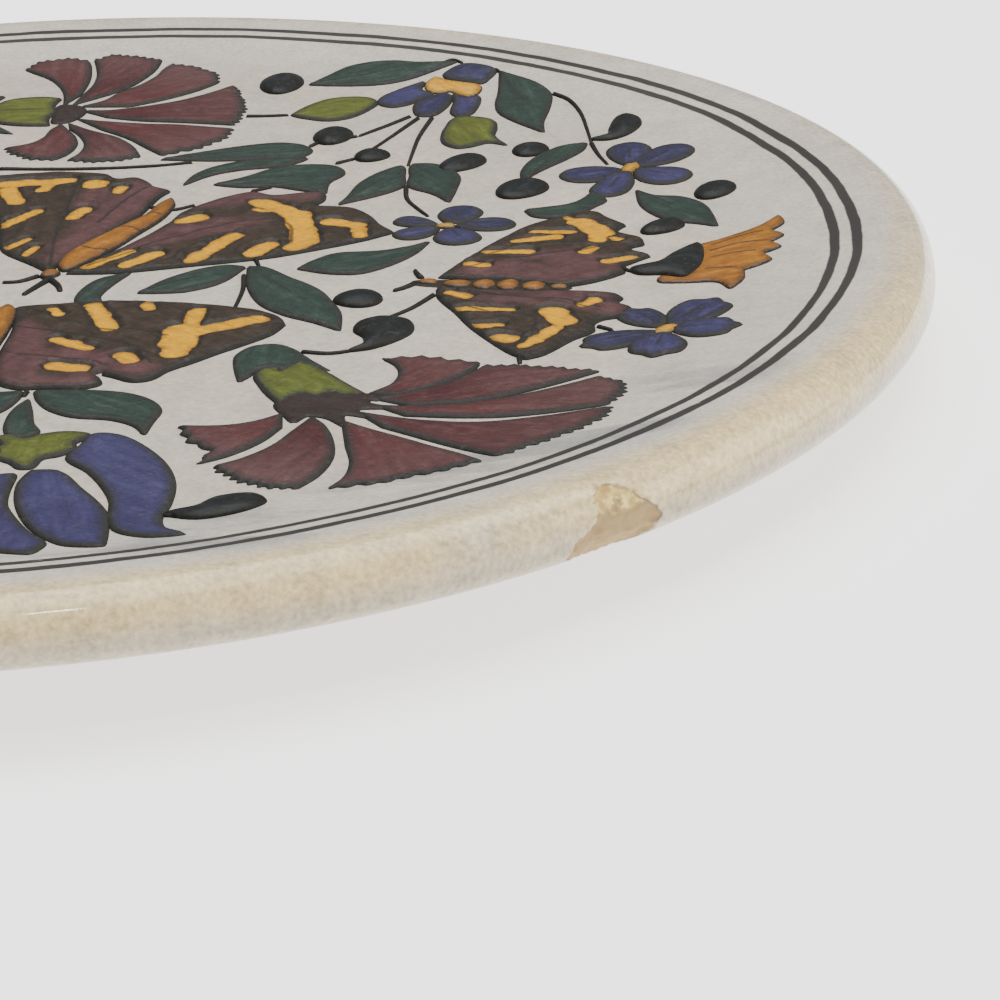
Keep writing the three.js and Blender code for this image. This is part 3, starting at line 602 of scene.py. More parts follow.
def placed(points, at, heading):
    """A figure's own points, u along its heading and v to its left, on the plate."""
    c, s = math.cos(math.radians(heading)), math.sin(math.radians(heading))
    points = np.asarray(points, float)
    return np.c_[at[0] + points[:, 0] * c - points[:, 1] * s, at[1] + points[:, 0] * s + points[:, 1] * c]


def mirrored(figures, axis=0.0):
    """The same figures on the other side of an upright line, which is the plate's own unless given."""

    def flip(points):
        return np.asarray(points) * (-1, 1) + (2 * axis, 0)

    flipped = []
    for f in figures:
        g = dict(f, outline=flip(f["outline"]), origin=flip(f["origin"]), heading=math.pi - f["heading"])
        g["lines"] = [flip(line) for line in f["lines"]]
        for key in ("cells", "tints"):
            if f[key]:
                g[key] = lambda points, own=f[key]: own(flip(points))
        flipped.append(g)
    return flipped


def curve(points, closed=False, per=6):
    """A smooth line through points. A point with a third number is a sharp corner."""
    spots = [np.array(p[:2], float) for p in points]
    sharp = [len(p) > 2 for p in points]
    count = len(spots)
    line = []
    for k in range(count if closed else count - 1):
        m = (k + 1) % count
        a, b = spots[k], spots[m]
        long = np.linalg.norm(b - a)
        before = a if sharp[k] or (k == 0 and not closed) else spots[k - 1]
        after = b if sharp[m] or (m == count - 1 and not closed) else spots[(m + 1) % count]
        leave = (b - before) * long / (long + np.linalg.norm(a - before))
        arrive = (after - a) * long / (long + np.linalg.norm(after - b))
        for t in np.arange(per) / per:
            line.append(a * (1 - 3 * t * t + 2 * t**3) + leave * (t - 2 * t * t + t**3)
                        + b * (3 * t * t - 2 * t**3) + arrive * (t**3 - t * t))
    return np.array(line if closed else line + [spots[-1]])


def grown(line, out=0.3, closed=False):
    """The line moved to its right, which is outward where the figure lies to its left."""
    run = np.roll(line, -1, axis=0) - np.roll(line, 1, axis=0) if closed else np.gradient(line, axis=0)
    run /= np.linalg.norm(run, axis=1)[:, None]
    return line + out * np.c_[run[:, 1], -run[:, 0]]


def leftward(line):
    """A closed line turned so that the figure lies to its left."""
    x, y = line.T
    return line if (x * np.roll(y, -1) - np.roll(x, -1) * y).sum() > 0 else line[::-1]


def direction(start, end):
    return math.degrees(math.atan2(end[1] - start[1], end[0] - start[0]))


# Carnations: seven toothed petals in dark red, brushed out from the cup, each within its own slip
# line. They leave the cup close together, over a dark hub, and curl back. A petal is drawn as its
# two edges and the crown between them.
RED = (0.076, 0.015, 0.014)
RED_DEEP = (0.058, 0.010, 0.010)
RED_DUSTY = (0.088, 0.041, 0.038)
RED_THIN = (0.115, 0.058, 0.056, 1)
SIDE_CARNATION = [
    ([(48.6, -56.4), (51.3, -53.4), (52.2, -50), (51.7, -47)],
     [(49.8, -44.1), (54.8, -44.3), (61.4, -46.6)],
     [(60.3, -49.6), (58, -52.6), (55, -55.1), (51.5, -57)], 5),
    ([(48.7, -58), (52.9, -56.5), (57.6, -53.6), (60.6, -50.2)],
     [(62.4, -47.5), (67, -48.2), (72, -49.6), (75.4, -50.8)],
     [(71.5, -53.5), (66.8, -56.5), (60.7, -59.5), (53.6, -60.4)], 9),
    ([(48.5, -59.8), (52.7, -60.7), (58.6, -60.5), (64.5, -58.8), (70.4, -56)],
     [(75.6, -52.8), (78, -56.5), (77.4, -60.8), (76, -63.6)],
     [(69.8, -64.2), (63.9, -64.6), (58, -64.1), (52.9, -63.2)], 8),
    ([(46.6, -61.4), (50, -63.3), (55.3, -65.4), (60.9, -66.5), (66.8, -66.2), (72.7, -65.4)],
     [(76.5, -65.2), (74.3, -70), (70.2, -74), (63.4, -79.2)],
     [(59.9, -75.2), (55.2, -70.5), (50.6, -66.6)], 12),
    ([(45.4, -64), (49.4, -67.6), (53.9, -71.4), (58.4, -76)],
     [(61.6, -80.8), (56.5, -82.8), (50.5, -84.8), (45.3, -85.5)],
     [(47, -81.6), (47.5, -77), (46.9, -72.3)], 8),
    ([(42.2, -62.5), (43.9, -65.6), (45, -70.2), (45.2, -75.3), (43.9, -80.6)],
     [(41.6, -84.8), (37.2, -82.8), (34.2, -80), (32.4, -77.2)],
     [(35.7, -75), (38.8, -71.2), (40.8, -67)], 9),
    ([(39.6, -61.6), (36.4, -64), (32.7, -65.1)],
     [(27.4, -64.7), (29, -69), (31.4, -72.2), (30.4, -76)],
     [(33.9, -73.8), (37.2, -70), (39.2, -65.8)], 5),
]
FAR_CARNATION = [
    ([(-1.5, 72.4), (-2.4, 80), (-3.8, 85), (-6, 89.6)],
     [(-10.8, 95), (-8.5, 98), (-4, 99.2), (-1, 98.4)],
     [(-0.2, 94.8), (0.3, 89.6), (0.3, 84.6), (0, 79)], 7),
    ([(-0.5, 72.2), (0.9, 80.6), (1.6, 85.2), (1.6, 90.6), (0.9, 95.7)],
     [(0.2, 98.7), (3, 100.2), (7, 99.2), (11, 97.7)],
     [(10.4, 93), (9, 88), (7.3, 83.4), (4.6, 79)], 8),
    ([(0.6, 71.6), (4.2, 74.9), (6, 79.2), (8.8, 83.6), (10.9, 88.6), (12, 93)],
     [(13.3, 95.6), (18.2, 92.4), (20.8, 89), (21.4, 85.3)],
     [(19.7, 82.1), (16.9, 78.4), (13, 74.7), (8.4, 71.4)], 8),
    ([(0.8, 69.6), (6, 69.2), (12.4, 71.5), (17, 74.4), (21.4, 78.9)],
     [(24, 82.6), (25.6, 75), (26.6, 68.2), (25.8, 59.2)],
     [(21.3, 60.6), (17, 61.8), (11.3, 63.2), (5.8, 65.6)], 13),
    ([(0.2, 65.6), (4.7, 63.2), (11.3, 61), (16.9, 59.8), (22.4, 57.8)],
     [(25.8, 56.6), (24.6, 52), (21.6, 47.6), (16.3, 43.7)],
     [(13.6, 48), (10.2, 53.6), (5.8, 58.8)], 8),
    ([(-0.4, 63.4), (4.2, 58), (8.4, 53.9), (11, 49.4)],
     [(12.9, 43), (8, 41.4), (2.4, 42.3)],
     [(3.9, 46.2), (4.2, 50.8), (3, 55.4), (1, 59.6)], 8),
    ([(-1.3, 63.2), (0.3, 59.4), (1.9, 55.4), (2.7, 50.6), (1.9, 46)],
     [(0, 42.8), (-4.2, 44.6), (-8, 49.6)],
     [(-4.2, 51.8), (-2.5, 55), (-1.9, 59.4)], 7),
]


def crown_teeth(crown, teeth, reach=0.85):
    """Points along a petal's crown, pushed outward and back in turn."""
    line = curve(crown, per=12)
    arc = np.r_[0, np.cumsum(np.linalg.norm(np.diff(line, axis=0), axis=1))]
    at = np.linspace(0, arc[-1], 2 * teeth + 1)
    points = np.c_[np.interp(at, arc, line[:, 0]), np.interp(at, arc, line[:, 1])]
    run = np.gradient(points, axis=0)
    run /= np.linalg.norm(run, axis=1)[:, None]
    out = np.c_[-run[:, 1], run[:, 0]]
    ring = np.arange(2 * teeth + 1)
    push = reach * np.where(ring % 2 == 0, 0.45, -0.5) * (1 + 0.4 * np.sin(2.1 * ring))
    push[[0, -1]] = 0
    points += out * push[:, None]
    return points


def petal_tints(order, joint, tip):
    """Deep red that turns dusty toward the crown, sooner on one petal than on the next."""
    long = np.linalg.norm(tip - joint)
    deep = np.array(RED_DEEP if order % 2 else RED)

    def tints(points):
        out = np.linalg.norm(points - joint, axis=1) / long + 0.12 * wander(points, 6.0, order * 1.7)
        share = np.clip((out - 0.45) / 0.55, 0, 1)[:, None] * (0.6 + 0.2 * (order % 3))
        return deep * (1 - share) + np.array(RED_DUSTY) * share

    return tints


def carnation(petals, joint):
    """Its petals, each brushed along the line from the joint to the middle of its crown."""
    drawn = []
    for k, (out, crown, back, teeth) in enumerate(petals):
        sign = np.cross(np.array(crown[0]) - joint, np.array(crown[-1]) - joint)
        tips = crown_teeth(crown, teeth, -0.85 if sign > 0 else 0.85)
        sides = [curve(out + crown[:1])[:-1], curve(crown[-1:] + back)[1:]]
        sides = [grown(line, 0.42 if sign > 0 else -0.42) for line in sides]
        outline = np.vstack([sides[0], tips, sides[1]])
        middle = np.array(crown[len(crown) // 2], float)
        tints = petal_tints(k, joint, middle)
        drawn.append(figure(outline, RED, joint, direction(joint, middle), tints=tints))
    return drawn


red_enamel = enamel("dark red enamel", RED_THIN, 0.65, 0.6, root=8.5)
SIDE_JOINT, FAR_JOINT = (44, -58), (-2, 68)
side_carnation = carnation(SIDE_CARNATION, SIDE_JOINT)
far_carnation = carnation(FAR_CARNATION, FAR_JOINT)
enamel_piece("carnations", side_carnation + mirrored(side_carnation) + far_carnation, red_enamel)

# The cup that holds each carnation's petals, toothed where they leave it, in lime enamel, and the leafy
# cap behind it in dark green. Each is flooded inside a slip line of its own.
LIME = (0.080, 0.095, 0.010)
LIME_THIN = (0.15, 0.175, 0.028, 1)
GREEN = (0.015, 0.031, 0.022)
GREEN_THIN = (0.045, 0.068, 0.054, 1)
lime_enamel = enamel("lime green enamel", LIME_THIN, 0.7, 0.6)
green_enamel = enamel("dark green enamel", GREEN_THIN, 0.55, 0.7)


def shape(points, paint, base=None, lines=(), out=0.3, **more):
    """A figure with a smooth outline through points, brushed from its base across its middle."""
    outline = grown(leftward(curve(points, closed=True)), out, closed=True)
    base = np.array(points[0][:2] if base is None else base, float)
    heading = direction(base, outline.mean(0))
    return figure(outline, paint, base, heading, [curve(line) for line in lines], **more)


SIDE_CUP = [
    (38.8, -58.9, 1), (37.2, -55.6), (36, -52.2), (35.3, -49.2), (36, -47.4), (37.6, -46.6), (38.4, -47.4),
    (39.4, -46.2), (40.6, -44.8), (43.4, -48.3), (46.2, -52.9), (48.4, -56.2, 1), (45.6, -56.6),
    (44.5, -55.6, 1), (42.7, -56.8), (41.2, -55.8, 1), (40, -56.6),
]
SIDE_CAP = [
    (33.6, -51, 1), (32.8, -46), (32.7, -42), (34.4, -39.3), (37.4, -38.8), (40, -41.4), (40.7, -44.2),
    (39.4, -46.4), (38.3, -47.7), (37.2, -46.6), (35.4, -47.6), (34.6, -49.4),
]
SIDE_CAP_LOBE = [
    (38.9, -41.4), (40.4, -42.4), (41.7, -44.6), (44, -48.2, 1), (42.4, -47.3), (40.6, -46.2),
    (39.4, -44.6),
]
FAR_CUP = [
    (-2.6, 77.2, 1), (-5.5, 78.1), (-9.2, 77.7), (-11.6, 75.8), (-12.5, 72), (-12.2, 68), (-10.5, 64.2),
    (-7, 62.4), (-2.6, 61.8, 1), (-3.2, 66), (-2.5, 69), (-3.2, 73),
]
FAR_CUP_VEIN = [(-11, 70), (-5, 70)]
FAR_CAP = [
    (-11.6, 79.6, 1), (-13, 75), (-13.6, 70), (-11.8, 64.8), (-7.4, 57.8, 1), (-13, 60.6), (-17.5, 65),
    (-19, 70), (-17.4, 76), (-14.6, 79),
]
side_cups = [shape(SIDE_CUP, LIME, (36.5, -47))]
cup_caps = [shape(SIDE_CAP, GREEN, (36.5, -39)), shape(SIDE_CAP_LOBE, GREEN, (39, -42))]
far_cups = [shape(FAR_CUP, LIME, (-12, 70), [FAR_CUP_VEIN])]
far_caps = [shape(FAR_CAP, GREEN, (-19, 70))]
enamel_piece("flower_cups", side_cups + mirrored(side_cups) + far_cups, lime_enamel)
enamel_piece("cup_caps", cup_caps + mirrored(cup_caps) + far_caps, green_enamel)

# Blue flowers: rosettes of five rounded petals, which end in three lobes on the outermost flower, a
# drooping blossom with a yellow band, and a tulip whose long petals stand apart under a lime cap.
# All are flooded with cobalt enamel, and the eyes with yellow.
BLUE = (0.033, 0.028, 0.085)
BLUE_DEEP = (0.021, 0.018, 0.052)
BLUE_THIN = (0.062, 0.056, 0.140, 1)
YELLOW = (0.62, 0.29, 0.010)
YELLOW_THIN = (0.80, 0.50, 0.08, 1)
blue_enamel = enamel("cobalt blue enamel", BLUE_THIN, 0.75, 0.6)
yellow_enamel = enamel("yellow enamel", YELLOW_THIN, 0.3, 0.8)


def petal(eye, centre, half_long, half_wide, nicks=0):
    """A rounded petal on the line from the flower's eye, fuller towards its end."""
    outline = []
    inner = max(half_long, math.dist(eye, centre) - 1.0)
    for turn in np.linspace(0, 2 * math.pi, 44, endpoint=False):
        crown, neck = max(math.cos(turn), 0), max(-math.cos(turn), 0)
        teeth = 1 - (0.2 * crown**2 * (0.5 - 0.5 * math.cos(2 * nicks * turn)) if nicks else 0)
        long = inner if neck else half_long * teeth
        wide = half_wide * (1 + 0.1 * crown) * (1 - 0.35 * neck**2) * teeth
        outline.append((long * math.cos(turn), wide * math.sin(turn)))
    heading = direction(eye, centre)
    fold = placed([(-0.8 * half_long, 0), (0.15 * half_long, 0)], centre, heading)
    paint = BLUE_DEEP if (centre[0] + centre[1]) % 3 < 1.4 else BLUE
    return figure(placed(outline, centre, heading), paint, eye, heading, [fold])


def drop(centre, half_long, half_wide, heading, paint, relief=RELIEF):
    """A drop of enamel, fuller at its far end."""
    turns = np.linspace(0, 2 * math.pi, 28, endpoint=False)
    outline = [(half_long * math.cos(a), half_wide * math.sin(a) * (1 + 0.12 * math.cos(a))) for a in turns]
    return figure(placed(outline, centre, heading), paint, centre, heading, relief=relief)


ROSETTES = [
    ((57.2, 6.1),
     [(52.4, 8.6, 2.5, 2.3), (59, 11.3, 3.8, 3.1), (63, 6.3, 3.6, 3), (58.6, 1.2, 3.5, 3.3),
      (52.9, 3.3, 3, 2.6)],
     0),
    ((82.8, 30.4),
     [(83.1, 38.2, 4.6, 3.4), (88.2, 35.6, 4.6, 3.6), (87.2, 26.2, 4.2, 4), (79.8, 21.6, 4.7, 2.9),
      (77, 28, 4.4, 3.8)],
     0),
    ((83.6, -37.6),
     [(81, -32.6, 3.7, 3), (88.2, -31, 4.6, 3.7), (88.4, -38.4, 4.4, 3.6), (82.3, -43.4, 4.4, 3.6),
      (77.2, -40.6, 4.7, 3)],
     3),
]
BLOSSOM = [
    [(56.5, 82.2), (59.2, 84.9), (62, 84), (64.6, 80.9), (63.4, 77.6), (62.3, 76.2), (59.3, 78.1),
     (56.9, 80)],
    [(53.6, 79.6), (53, 76), (54.9, 72.8), (53.4, 70.9), (52, 69), (50.9, 67.6), (48.6, 66.6),
     (46.6, 68.8), (47, 72.6), (49.8, 76.6)],
    [(52.4, 69), (55, 72.2), (57.3, 72.6), (57.5, 68.6), (56.3, 63.8), (54.8, 61), (52.8, 61.2),
     (52, 64.4)],
    [(58, 72.7), (59.9, 70.2), (61.7, 70.8), (62, 68.6), (61.4, 64.2), (60.4, 61), (58.7, 60),
     (57.6, 62.6), (58, 68)],
]
BLOSSOM_BAND = [
    (55.2, 81), (56.9, 79.1), (59.2, 77.5), (62, 75.4), (61.8, 72.2), (60.3, 70.6), (58.8, 72),
    (57.4, 73.9), (55.4, 73.4), (53.8, 75.9), (53.9, 79.2),
]
TULIP = [
    [(16.8, -73.2), (17.9, -69.4), (18.8, -66.6), (21.8, -67.4), (24.6, -70.8), (27.2, -75.8),
     (28.6, -81.2), (28.7, -87.2), (28.2, -91.7), (29, -95.6), (31.4, -98.7, 1), (27.8, -98.3),
     (24.6, -95.4), (23.3, -91), (22.9, -86), (21.6, -81.7), (19.5, -77.2)],
    [(13.2, -76.8, 1), (16, -77.2), (18.8, -82), (21, -86), (22.3, -89.5), (23.1, -95.6),
     (23.5, -101.2, 1), (20, -99.8), (17.8, -97), (15.6, -93.1), (13.9, -88.8), (12.8, -84.4),
     (12.5, -80)],
    [(11.4, -77.5, 1), (11.2, -82), (11.5, -86), (13, -90), (14.8, -94), (17.2, -98.6),
     (16.6, -102.6, 1), (11.8, -100), (8, -95.5), (5.6, -89.5), (5.2, -83.5), (7.6, -78.6)],
    [(8.8, -73.4), (8.6, -69.6), (6.4, -67), (2.4, -69), (-0.6, -74), (-2, -80), (-2, -86),
     (-1.4, -90.6), (-2.6, -95), (-5, -98.4, 1), (-1.2, -98.6), (2, -95.8), (3.6, -90.6), (4, -84.6),
     (5.4, -78.4)],
]
TULIP_CAP = [
    (12.9, -66), (15.6, -65.4), (18.2, -66.2), (18, -67.4), (16.9, -68.9), (17.2, -70.6), (15.6, -72.4),
    (13.9, -73.2), (13.1, -75.7), (11.7, -75.8), (10.5, -74.2), (8.8, -72.6), (8.2, -70.4), (8.8, -68.6),
    (7.6, -66.8), (9.4, -65.8), (11.2, -67.2),
]
side_blue = [petal(eye, (x, y), long, wide, nicks)
             for eye, petals, nicks in ROSETTES for x, y, long, wide in petals]
side_blue += [shape(points, BLUE if k % 2 else BLUE_DEEP, (59, 81)) for k, points in enumerate(BLOSSOM)]
tulip = [shape(points, BLUE, (12.5, -68), out=0.6) for points in TULIP]
enamel_piece("blue_flowers", side_blue + mirrored(side_blue) + tulip, blue_enamel)
side_eyes = [drop((57.1, 6.2), 1.5, 1.2, 0, YELLOW), drop((82.8, 30.4), 3.0, 1.4, 70, YELLOW),
             drop((83.6, -37.6), 2.1, 1.4, 45, YELLOW), shape(BLOSSOM_BAND, YELLOW)]
enamel_piece("yellow_eyes", side_eyes + mirrored(side_eyes), yellow_enamel)
enamel_piece("tulip_cap", [shape(TULIP_CAP, LIME)], lime_enamel)

# Leaves: dark green enamel, full near the stem and drawn out to a point, with a short midrib on those
# of the side garden, and lime ones at the drooping blossom. The side garden is on both halves.
SIDE_LEAVES = [
    [(35.4, 81.2, 1), (38.1, 85.3), (41, 88.7), (44.8, 89.9), (48.7, 89.5), (52.6, 87.8),
     (58.8, 86.3, 1), (54.8, 83.8), (50.9, 81.2), (47, 79.8), (43.1, 79.7), (38.7, 80.3)],
    [(65.2, 80.2, 1), (67.6, 77.6), (70.3, 74.2), (72, 70.9), (72.8, 67.5), (72.3, 62), (71.3, 56),
     (71.2, 50.2, 1), (69.2, 53.2), (66.4, 57.8), (64.8, 61.6), (64.4, 66.4), (64.9, 72)],
    [(15.9, 41.8, 1), (20, 44), (26, 46.8), (32, 48.4), (36, 47.2), (37.6, 44.2), (36.2, 41.2),
     (31, 40.6), (24, 40.4)],
    [(20.3, 28.6, 1), (21.5, 33.5), (24, 37), (28, 39.6), (32.6, 40.2), (37, 40.6), (36.4, 38.8),
     (33.5, 36.6), (28, 35.4), (24, 33.2)],
    [(24.6, 28.4, 1), (28.8, 31.6), (32.5, 35.3), (36.3, 36.7), (40, 36.4), (42.2, 34.6), (42.6, 31.5),
     (40.8, 27.8), (40.5, 22.6, 1), (36.9, 24.6), (33.1, 26.7), (28.8, 26.8)],
    [(42.4, 17.2, 1), (43.7, 21.5), (45, 27.1), (47.5, 31.8), (50.8, 34.9), (51.2, 30), (51, 24.8),
     (48.1, 21.3)],
    [(52.2, 35.3), (55, 35.4), (57.3, 33.4), (58.9, 29), (58.5, 23.4), (57.5, 16.8, 1), (55.4, 20.8),
     (52, 24.7), (52, 30)],
    [(67.7, 25.2, 1), (67.6, 30.3), (69, 35.9), (71.5, 40.3), (74, 42.8), (77.3, 44, 1), (76.5, 40.3),
     (74, 35.9), (70.9, 31.5), (69, 28.4)],
    [(67.7, 12, 1), (70.9, 12.9), (74, 14.5), (75.9, 17.1), (77, 19.2), (78.8, 15.8), (77.1, 12.8),
     (74.6, 9.6), (71.5, 8.3), (68.9, 9.2)],
    [(83.1, 19.8, 1), (85.3, 17.1), (89, 15.9), (91.5, 12.8), (92.4, 9), (92.9, 2.2, 1), (90.3, 4),
     (87.8, 5.2), (85.3, 7.8), (83.4, 12.8)],
    [(55, -0.4, 1), (53.1, -5.4), (50, -9.8), (46.3, -12.7), (42.5, -12.4), (38.2, -10.1, 1), (40, -7.2),
     (43.1, -4.4), (48.1, -4), (51.9, -2.8)],
    [(18.6, -17.9, 1), (21.3, -13.5), (25, -9.8), (28.8, -8), (31.6, -8.7, 1), (28.8, -14.8),
     (25, -17.7), (21.9, -18.1)],
    [(31.9, -8.9, 1), (34, -9.1), (37.5, -13.5), (41.3, -18.5), (43.2, -23.5), (44.4, -27.9),
     (44.6, -34.3, 1), (41.3, -31), (37.5, -27.9), (34.3, -23.5), (32.4, -16.6)],
]
LOW_LEAVES = [
    [(11.4, -20.8), (11.3, -16.6), (13, -12.3), (17, -9.6, 1), (15.2, -14.1), (14, -18.5), (14.2, -21)],
    [(10.2, -52.1, 1), (15.6, -52.4), (20.6, -53.6), (23.9, -56), (25.4, -59.4), (24.8, -63.3),
     (24.3, -66.9, 1), (22.8, -64), (20, -61.9), (15.6, -60.7), (12.7, -58.3), (11, -55.2)],
    [(9.9, -54.6, 1), (8.8, -57.2), (8.3, -60.6), (8.6, -64.6), (10, -67), (12.4, -65.4), (11.4, -62.2),
     (10.7, -58.3)],
    [(9, -52.1, 1), (3.6, -52.6), (-1, -54), (-4, -56.6), (-5.4, -60), (-5, -63.6), (-4.6, -67, 1),
     (-2.6, -64.2), (0.6, -62), (5, -60.6), (7.4, -58.2), (8.6, -55)],
]
LIME_LEAVES = [
    [(33.5, 63.7, 1), (35.3, 67.6), (38.1, 71.4), (40.9, 72.8), (44.8, 72.4), (46.4, 69.8), (45.6, 66.4),
     (42.6, 61.4), (39.2, 60), (35.3, 62)],
    [(58.1, 59.2), (60.9, 59.6), (63.9, 57.4), (64.3, 53.1), (64, 49.2), (65.8, 44, 1), (63.1, 45.5),
     (60.3, 43.6), (58.4, 43.3), (56.6, 45.9), (56.3, 50.3), (56.9, 54.8)],
]
side_leaves = [shape(points, GREEN, lines=[[points[0][:2], np.mean([p[:2] for p in points], axis=0)]])
               for points in SIDE_LEAVES]
low_leaves = [shape(points, GREEN) for points in LOW_LEAVES]
lime_leaves = [shape(points, LIME) for points in LIME_LEAVES]
enamel_piece("leaves", side_leaves + mirrored(side_leaves) + low_leaves, green_enamel)
enamel_piece("lime_leaves", lime_leaves + mirrored(lime_leaves), lime_enamel)

# Buds, stems and hubs: trailed in the same dark slip as the outlines. The stems are single strokes
# of the trailer, and the buds are drops of slip left to stand in a dome.
STROKE = (0.014, 0.014, 0.012)
BUD = (0.012, 0.0125, 0.012)
# Painted highlight: the pale tone of the dark slip stands partly for slip laid on thin and partly for the
# highlight on the domed buds
BUD_THIN_AND_HIGHLIGHT = (0.034, 0.038, 0.039, 1)
HUB_BROWN = (0.034, 0.021, 0.018)
BUD_RELIEF = [-0.35, 0.2, 0.4, 0.55, 0.7, 0.82, 0.95, 1.0]
STROKE_RELIEF = [-0.35, 0.18, 0.36, 0.45, 0.5, 0.5, 0.5, 0.5]
HUB_RELIEF = [-0.35, 0.04, 0.14, 0.22, 0.26, 0.28, 0.3, 0.3]
slip_enamel = enamel("dark slip", BUD_THIN_AND_HIGHLIGHT, 0.15, 0.5, sheen=0.16)


def bud(x, y, half_long, half_wide, heading):
    return drop((x, y), half_long, half_wide, heading, BUD, BUD_RELIEF)


def stem(points, width=0.8):
    """One stroke of the slip trailer, heavier where it was set down."""
    middle = curve(points, per=5)
    run = np.gradient(middle, axis=0)
    run /= np.linalg.norm(run, axis=1)[:, None]
    halves = width / 2 * np.linspace(1.15, 0.75, len(middle))[:, None]
    across = np.c_[-run[:, 1], run[:, 0]] * halves
    outline = np.vstack([middle + across, (middle - across)[::-1]])
    return figure(outline, STROKE, middle[0], direction(middle[0], middle[-1]), relief=STROKE_RELIEF)


def slip_shape(points, relief=BUD_RELIEF, paint=BUD):
    return shape(points, paint, relief=relief)


SIDE_STEMS = [
    [(51.6, 61.2), (48, 56), (44, 50.8)],
    [(52.8, 60.2), (49.6, 52), (46, 43)],
    [(54.8, 60.2), (53, 50), (52.2, 42), (51.6, 34.8)],
    [(51.5, 25), (51.8, 19), (53.4, 14), (54.8, 10.6)],
    [(73, 68.4), (75.4, 64.6), (76.9, 58.6), (77.6, 50.5), (77.9, 44.2)],
    [(77.9, 44), (78.7, 37.8), (79.8, 32.6)],
    [(26.7, 63.8), (30, 63.6), (33.4, 63.7)],
    [(46.2, 69.8), (47.4, 69.2)],
    [(56.4, 86.4), (57.8, 87.2), (59.6, 85.2)],
    [(64.4, 81.4), (65.6, 79)],
    [(42.6, 50.4), (44.2, 51)],
    [(37, 46), (38.6, 48.6)],
    [(41.2, 37), (44.4, 39.6)],
    [(30, 24.6), (33, 26.4)],
    [(31.6, -12), (31.8, -18), (31.2, -25.6)],
    [(32.6, -5.4), (33.4, -9)],
    [(55.9, -21.8), (53, -27), (50, -30.6)],
    [(40.2, -41.4), (44, -42.3), (48.2, -40.6)],
    [(79.4, -13.4), (80.6, -15), (82, -15.4)],
    [(75.4, -35.4), (77.6, -37.4)],
    [(66, -45.2), (66, -48)],
    [(15.6, 19.4), (19.8, 17), (23, 19)],
]
LOW_STEMS = [[(-7, 39.4), (4, 38.2), (14, 38.4), (21, 39.8)], [(28.4, -90.6), (30.4, -91.6)],
             [(9.4, -51.8), (9.2, -54)], [(-3, -91), (-6, -91.6)]]
COMMA_BUDS = [
    [(82, 54), (83.6, 54.6), (85.2, 52.7), (85.2, 49.8), (83.2, 46.6), (80.6, 45), (77.8, 45.4, 1),
     (80.4, 47), (80.9, 50)],
    [(51, -30.6), (53, -32), (53.2, -35.4), (51.6, -38.2), (48.6, -40.9), (45.8, -41.8, 1),
     (47.6, -39.6), (47.6, -37), (46.4, -34.6), (46.9, -31.8), (49, -30.4)],
]
LOW_COMMA = [
    [(28.6, -90.6, 1), (31.7, -89), (33.3, -86.8), (35.6, -85.9), (37.8, -86.1), (38.9, -87.8),
     (38.2, -89.5), (35.6, -91.7), (32.2, -92.6)],
]
SIDE_BUDS = [
    (31.1, 81.8, 5.6, 3.5, 85), (40.3, 51.2, 4.3, 3.0, 80), (46.3, 40.4, 3.0, 2.6, 60),
    (59.2, 35.2, 4.6, 2.9, 55), (67.4, 21.8, 4.7, 3.5, 60), (69, 41, 3.3, 2.7, 70),
    (93.6, 17.4, 3.7, 2.8, 60), (85.6, 2.9, 3.8, 2.3, 45), (46.4, -22.9, 3.2, 3.1, 0),
]
HUBS = [
    [(38.2, -58.4), (40.6, -55.4), (44.4, -55.2), (48.2, -56), (51.8, -57.4), (48.8, -58.8), (52, -60.9),
     (47.8, -61), (49.4, -63.8), (46.2, -62.6), (46.4, -66.2), (44.2, -63.4), (42, -62.6), (40.6, -64.4),
     (39.6, -62.6)],
]
FAR_HUBS = [[(-2.4, 73.4), (0.4, 73), (2, 70), (1.6, 66.4), (0, 63.4), (-2.2, 63.2), (-2.6, 68)]]
BLOOM_CALYX = [
    [(80.6, -14.3), (84, -12.4), (86.4, -8.7), (89.8, -5.2), (90.1, -10.2), (89, -15.2), (87, -17.8),
     (84.6, -16.6), (81.5, -16.2)],
]
side_drops = [bud(*b) for b in SIDE_BUDS] + [slip_shape(p) for p in COMMA_BUDS]
side_drops += [stem(p) for p in SIDE_STEMS]
side_drops += [slip_shape(p, HUB_RELIEF, HUB_BROWN) for p in HUBS] + [slip_shape(p) for p in BLOOM_CALYX]
low_drops = [stem(p) for p in LOW_STEMS] + [slip_shape(p) for p in LOW_COMMA]
low_drops += [slip_shape(p, HUB_RELIEF, HUB_BROWN) for p in FAR_HUBS]
enamel_piece("buds_and_stems", side_drops + mirrored(side_drops) + low_drops, slip_enamel)

# Butterflies: wings of thick brown and purple enamel laid on in lumps, round lower pools of yellow,
# and a body of orange drops between them. A pool or a purple patch is a stroke from one point to
# another with half its width.
WING_DARK = (0.034, 0.023, 0.014)
WING_PURPLE = (0.084, 0.038, 0.037)
WING_THIN = (0.070, 0.046, 0.040, 1)
POOL_YELLOW = (0.72, 0.345, 0.004, 1)
ORANGE = (0.27, 0.098, 0.006)
ORANGE_THIN = (0.46, 0.19, 0.02, 1)
BODY_RELIEF = [-0.35, 0.2, 0.42, 0.56, 0.62, 0.68, 0.74, 0.78]
BEAD_RELIEF = [-0.35, 0.14, 0.28, 0.4, 0.48, 0.54, 0.58, 0.6]
BED_RELIEF = [-0.35, 0.04, 0.1, 0.13, 0.15, 0.16, 0.18, 0.2]
wing_enamel = enamel("wing enamel", WING_THIN, 0.6, 0.4, POOL_YELLOW, sheen=0.2)
orange_enamel = enamel("orange enamel", ORANGE_THIN, 0.3, 0.8)
